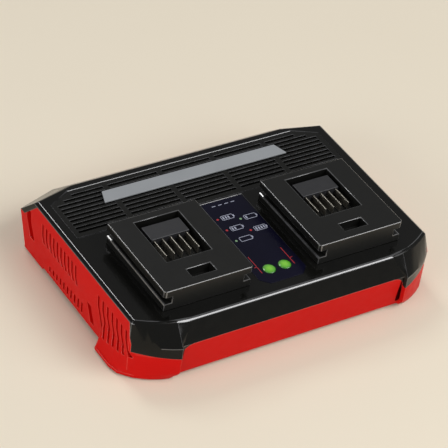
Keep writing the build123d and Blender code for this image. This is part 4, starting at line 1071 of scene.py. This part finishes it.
def lay_wires(name, routes, radius, finish):
    """Wires of one colour along their routes."""
    bm = bmesh.new()
    for route in routes:
        add_mesh(bm, wire(bent(route), radius, sides=3))
    keep(bm, name, finish=finish, slot="gland_rubber", smooth=60)


print("wires bend in", bend_steps, "steps from point to point")

# %% Mains and fan wires
terminal_high, terminal_middle = node_box("mains_terminal")[1:]
gland_low, gland_middle = node_box("cable_gland")[::2]
for side, finish in ((-1, "wire_brown"), (1, "wire_blue")):
    route = [(gland_middle.x + side * 1.3, gland_low.y + 3, gland_middle.z),
             (gland_middle.x + side * 1.4, gland_low.y - 3, gland_middle.z - 0.5),
             (terminal_middle.x + side * 4.5, terminal_high.y + 5, terminal_middle.z - 0.5),
             (terminal_middle.x + side * 6.0, terminal_high.y - 3, terminal_middle.z)]
    lay_wires("mains_" + finish, [route], 1.1, finish)

fan_low, fan_high = node_box("fan_frame")[:2]
plug_x, plug_y, plug_size = -84.5, 38.0, (4.0, 5.5, 5.0)
plug("fan_plug", (plug_x, plug_y, board_top),
     (plug_x + plug_size[0], plug_y + plug_size[1], board_top + plug_size[2]))
for shift, finish in ((0.0, "wire_red"), (1.6, "wire_black")):
    route = [(fan_high.x - 1.0, fan_high.y - 1.2 - shift, fan_low.z + 1.6),
             (fan_high.x + 3.0, fan_high.y - 0.5 - shift, fan_low.z + 2.4),
             (plug_x - 7.5, fan_high.y - 0.5 - shift, board_top + 3.5),
             (plug_x + 0.5, plug_y + 3.6 - shift, board_top + 3.0)]
    lay_wires("fan_" + finish, [route], 0.6, finish)
print("mains and fan wires laid")

# %% Ribbon
ribbon_y, ribbon_ways, ribbon_pitch = -51.5, 6, 1.27
small_board = node_box("status_board")[0].z
half_plug = Vector((5.0, 2.2))
plug("ribbon_plug", (-half_plug.x, ribbon_y - half_plug.y, board_top),
     (half_plug.x, ribbon_y + half_plug.y, board_top + 4))
routes = []
for way in range(ribbon_ways):
    x = (way - (ribbon_ways - 1) / 2) * ribbon_pitch
    routes.append([(x, ribbon_y, board_top + 3), (x, ribbon_y + 1.5, board_top + 8),
                   (x, ribbon_y + 3.5, small_board - 9), (x, ribbon_y, small_board)])
lay_wires("ribbon", routes, ribbon_pitch / 2, "ribbon_grey")
print("ribbon of", ribbon_ways, "wires")
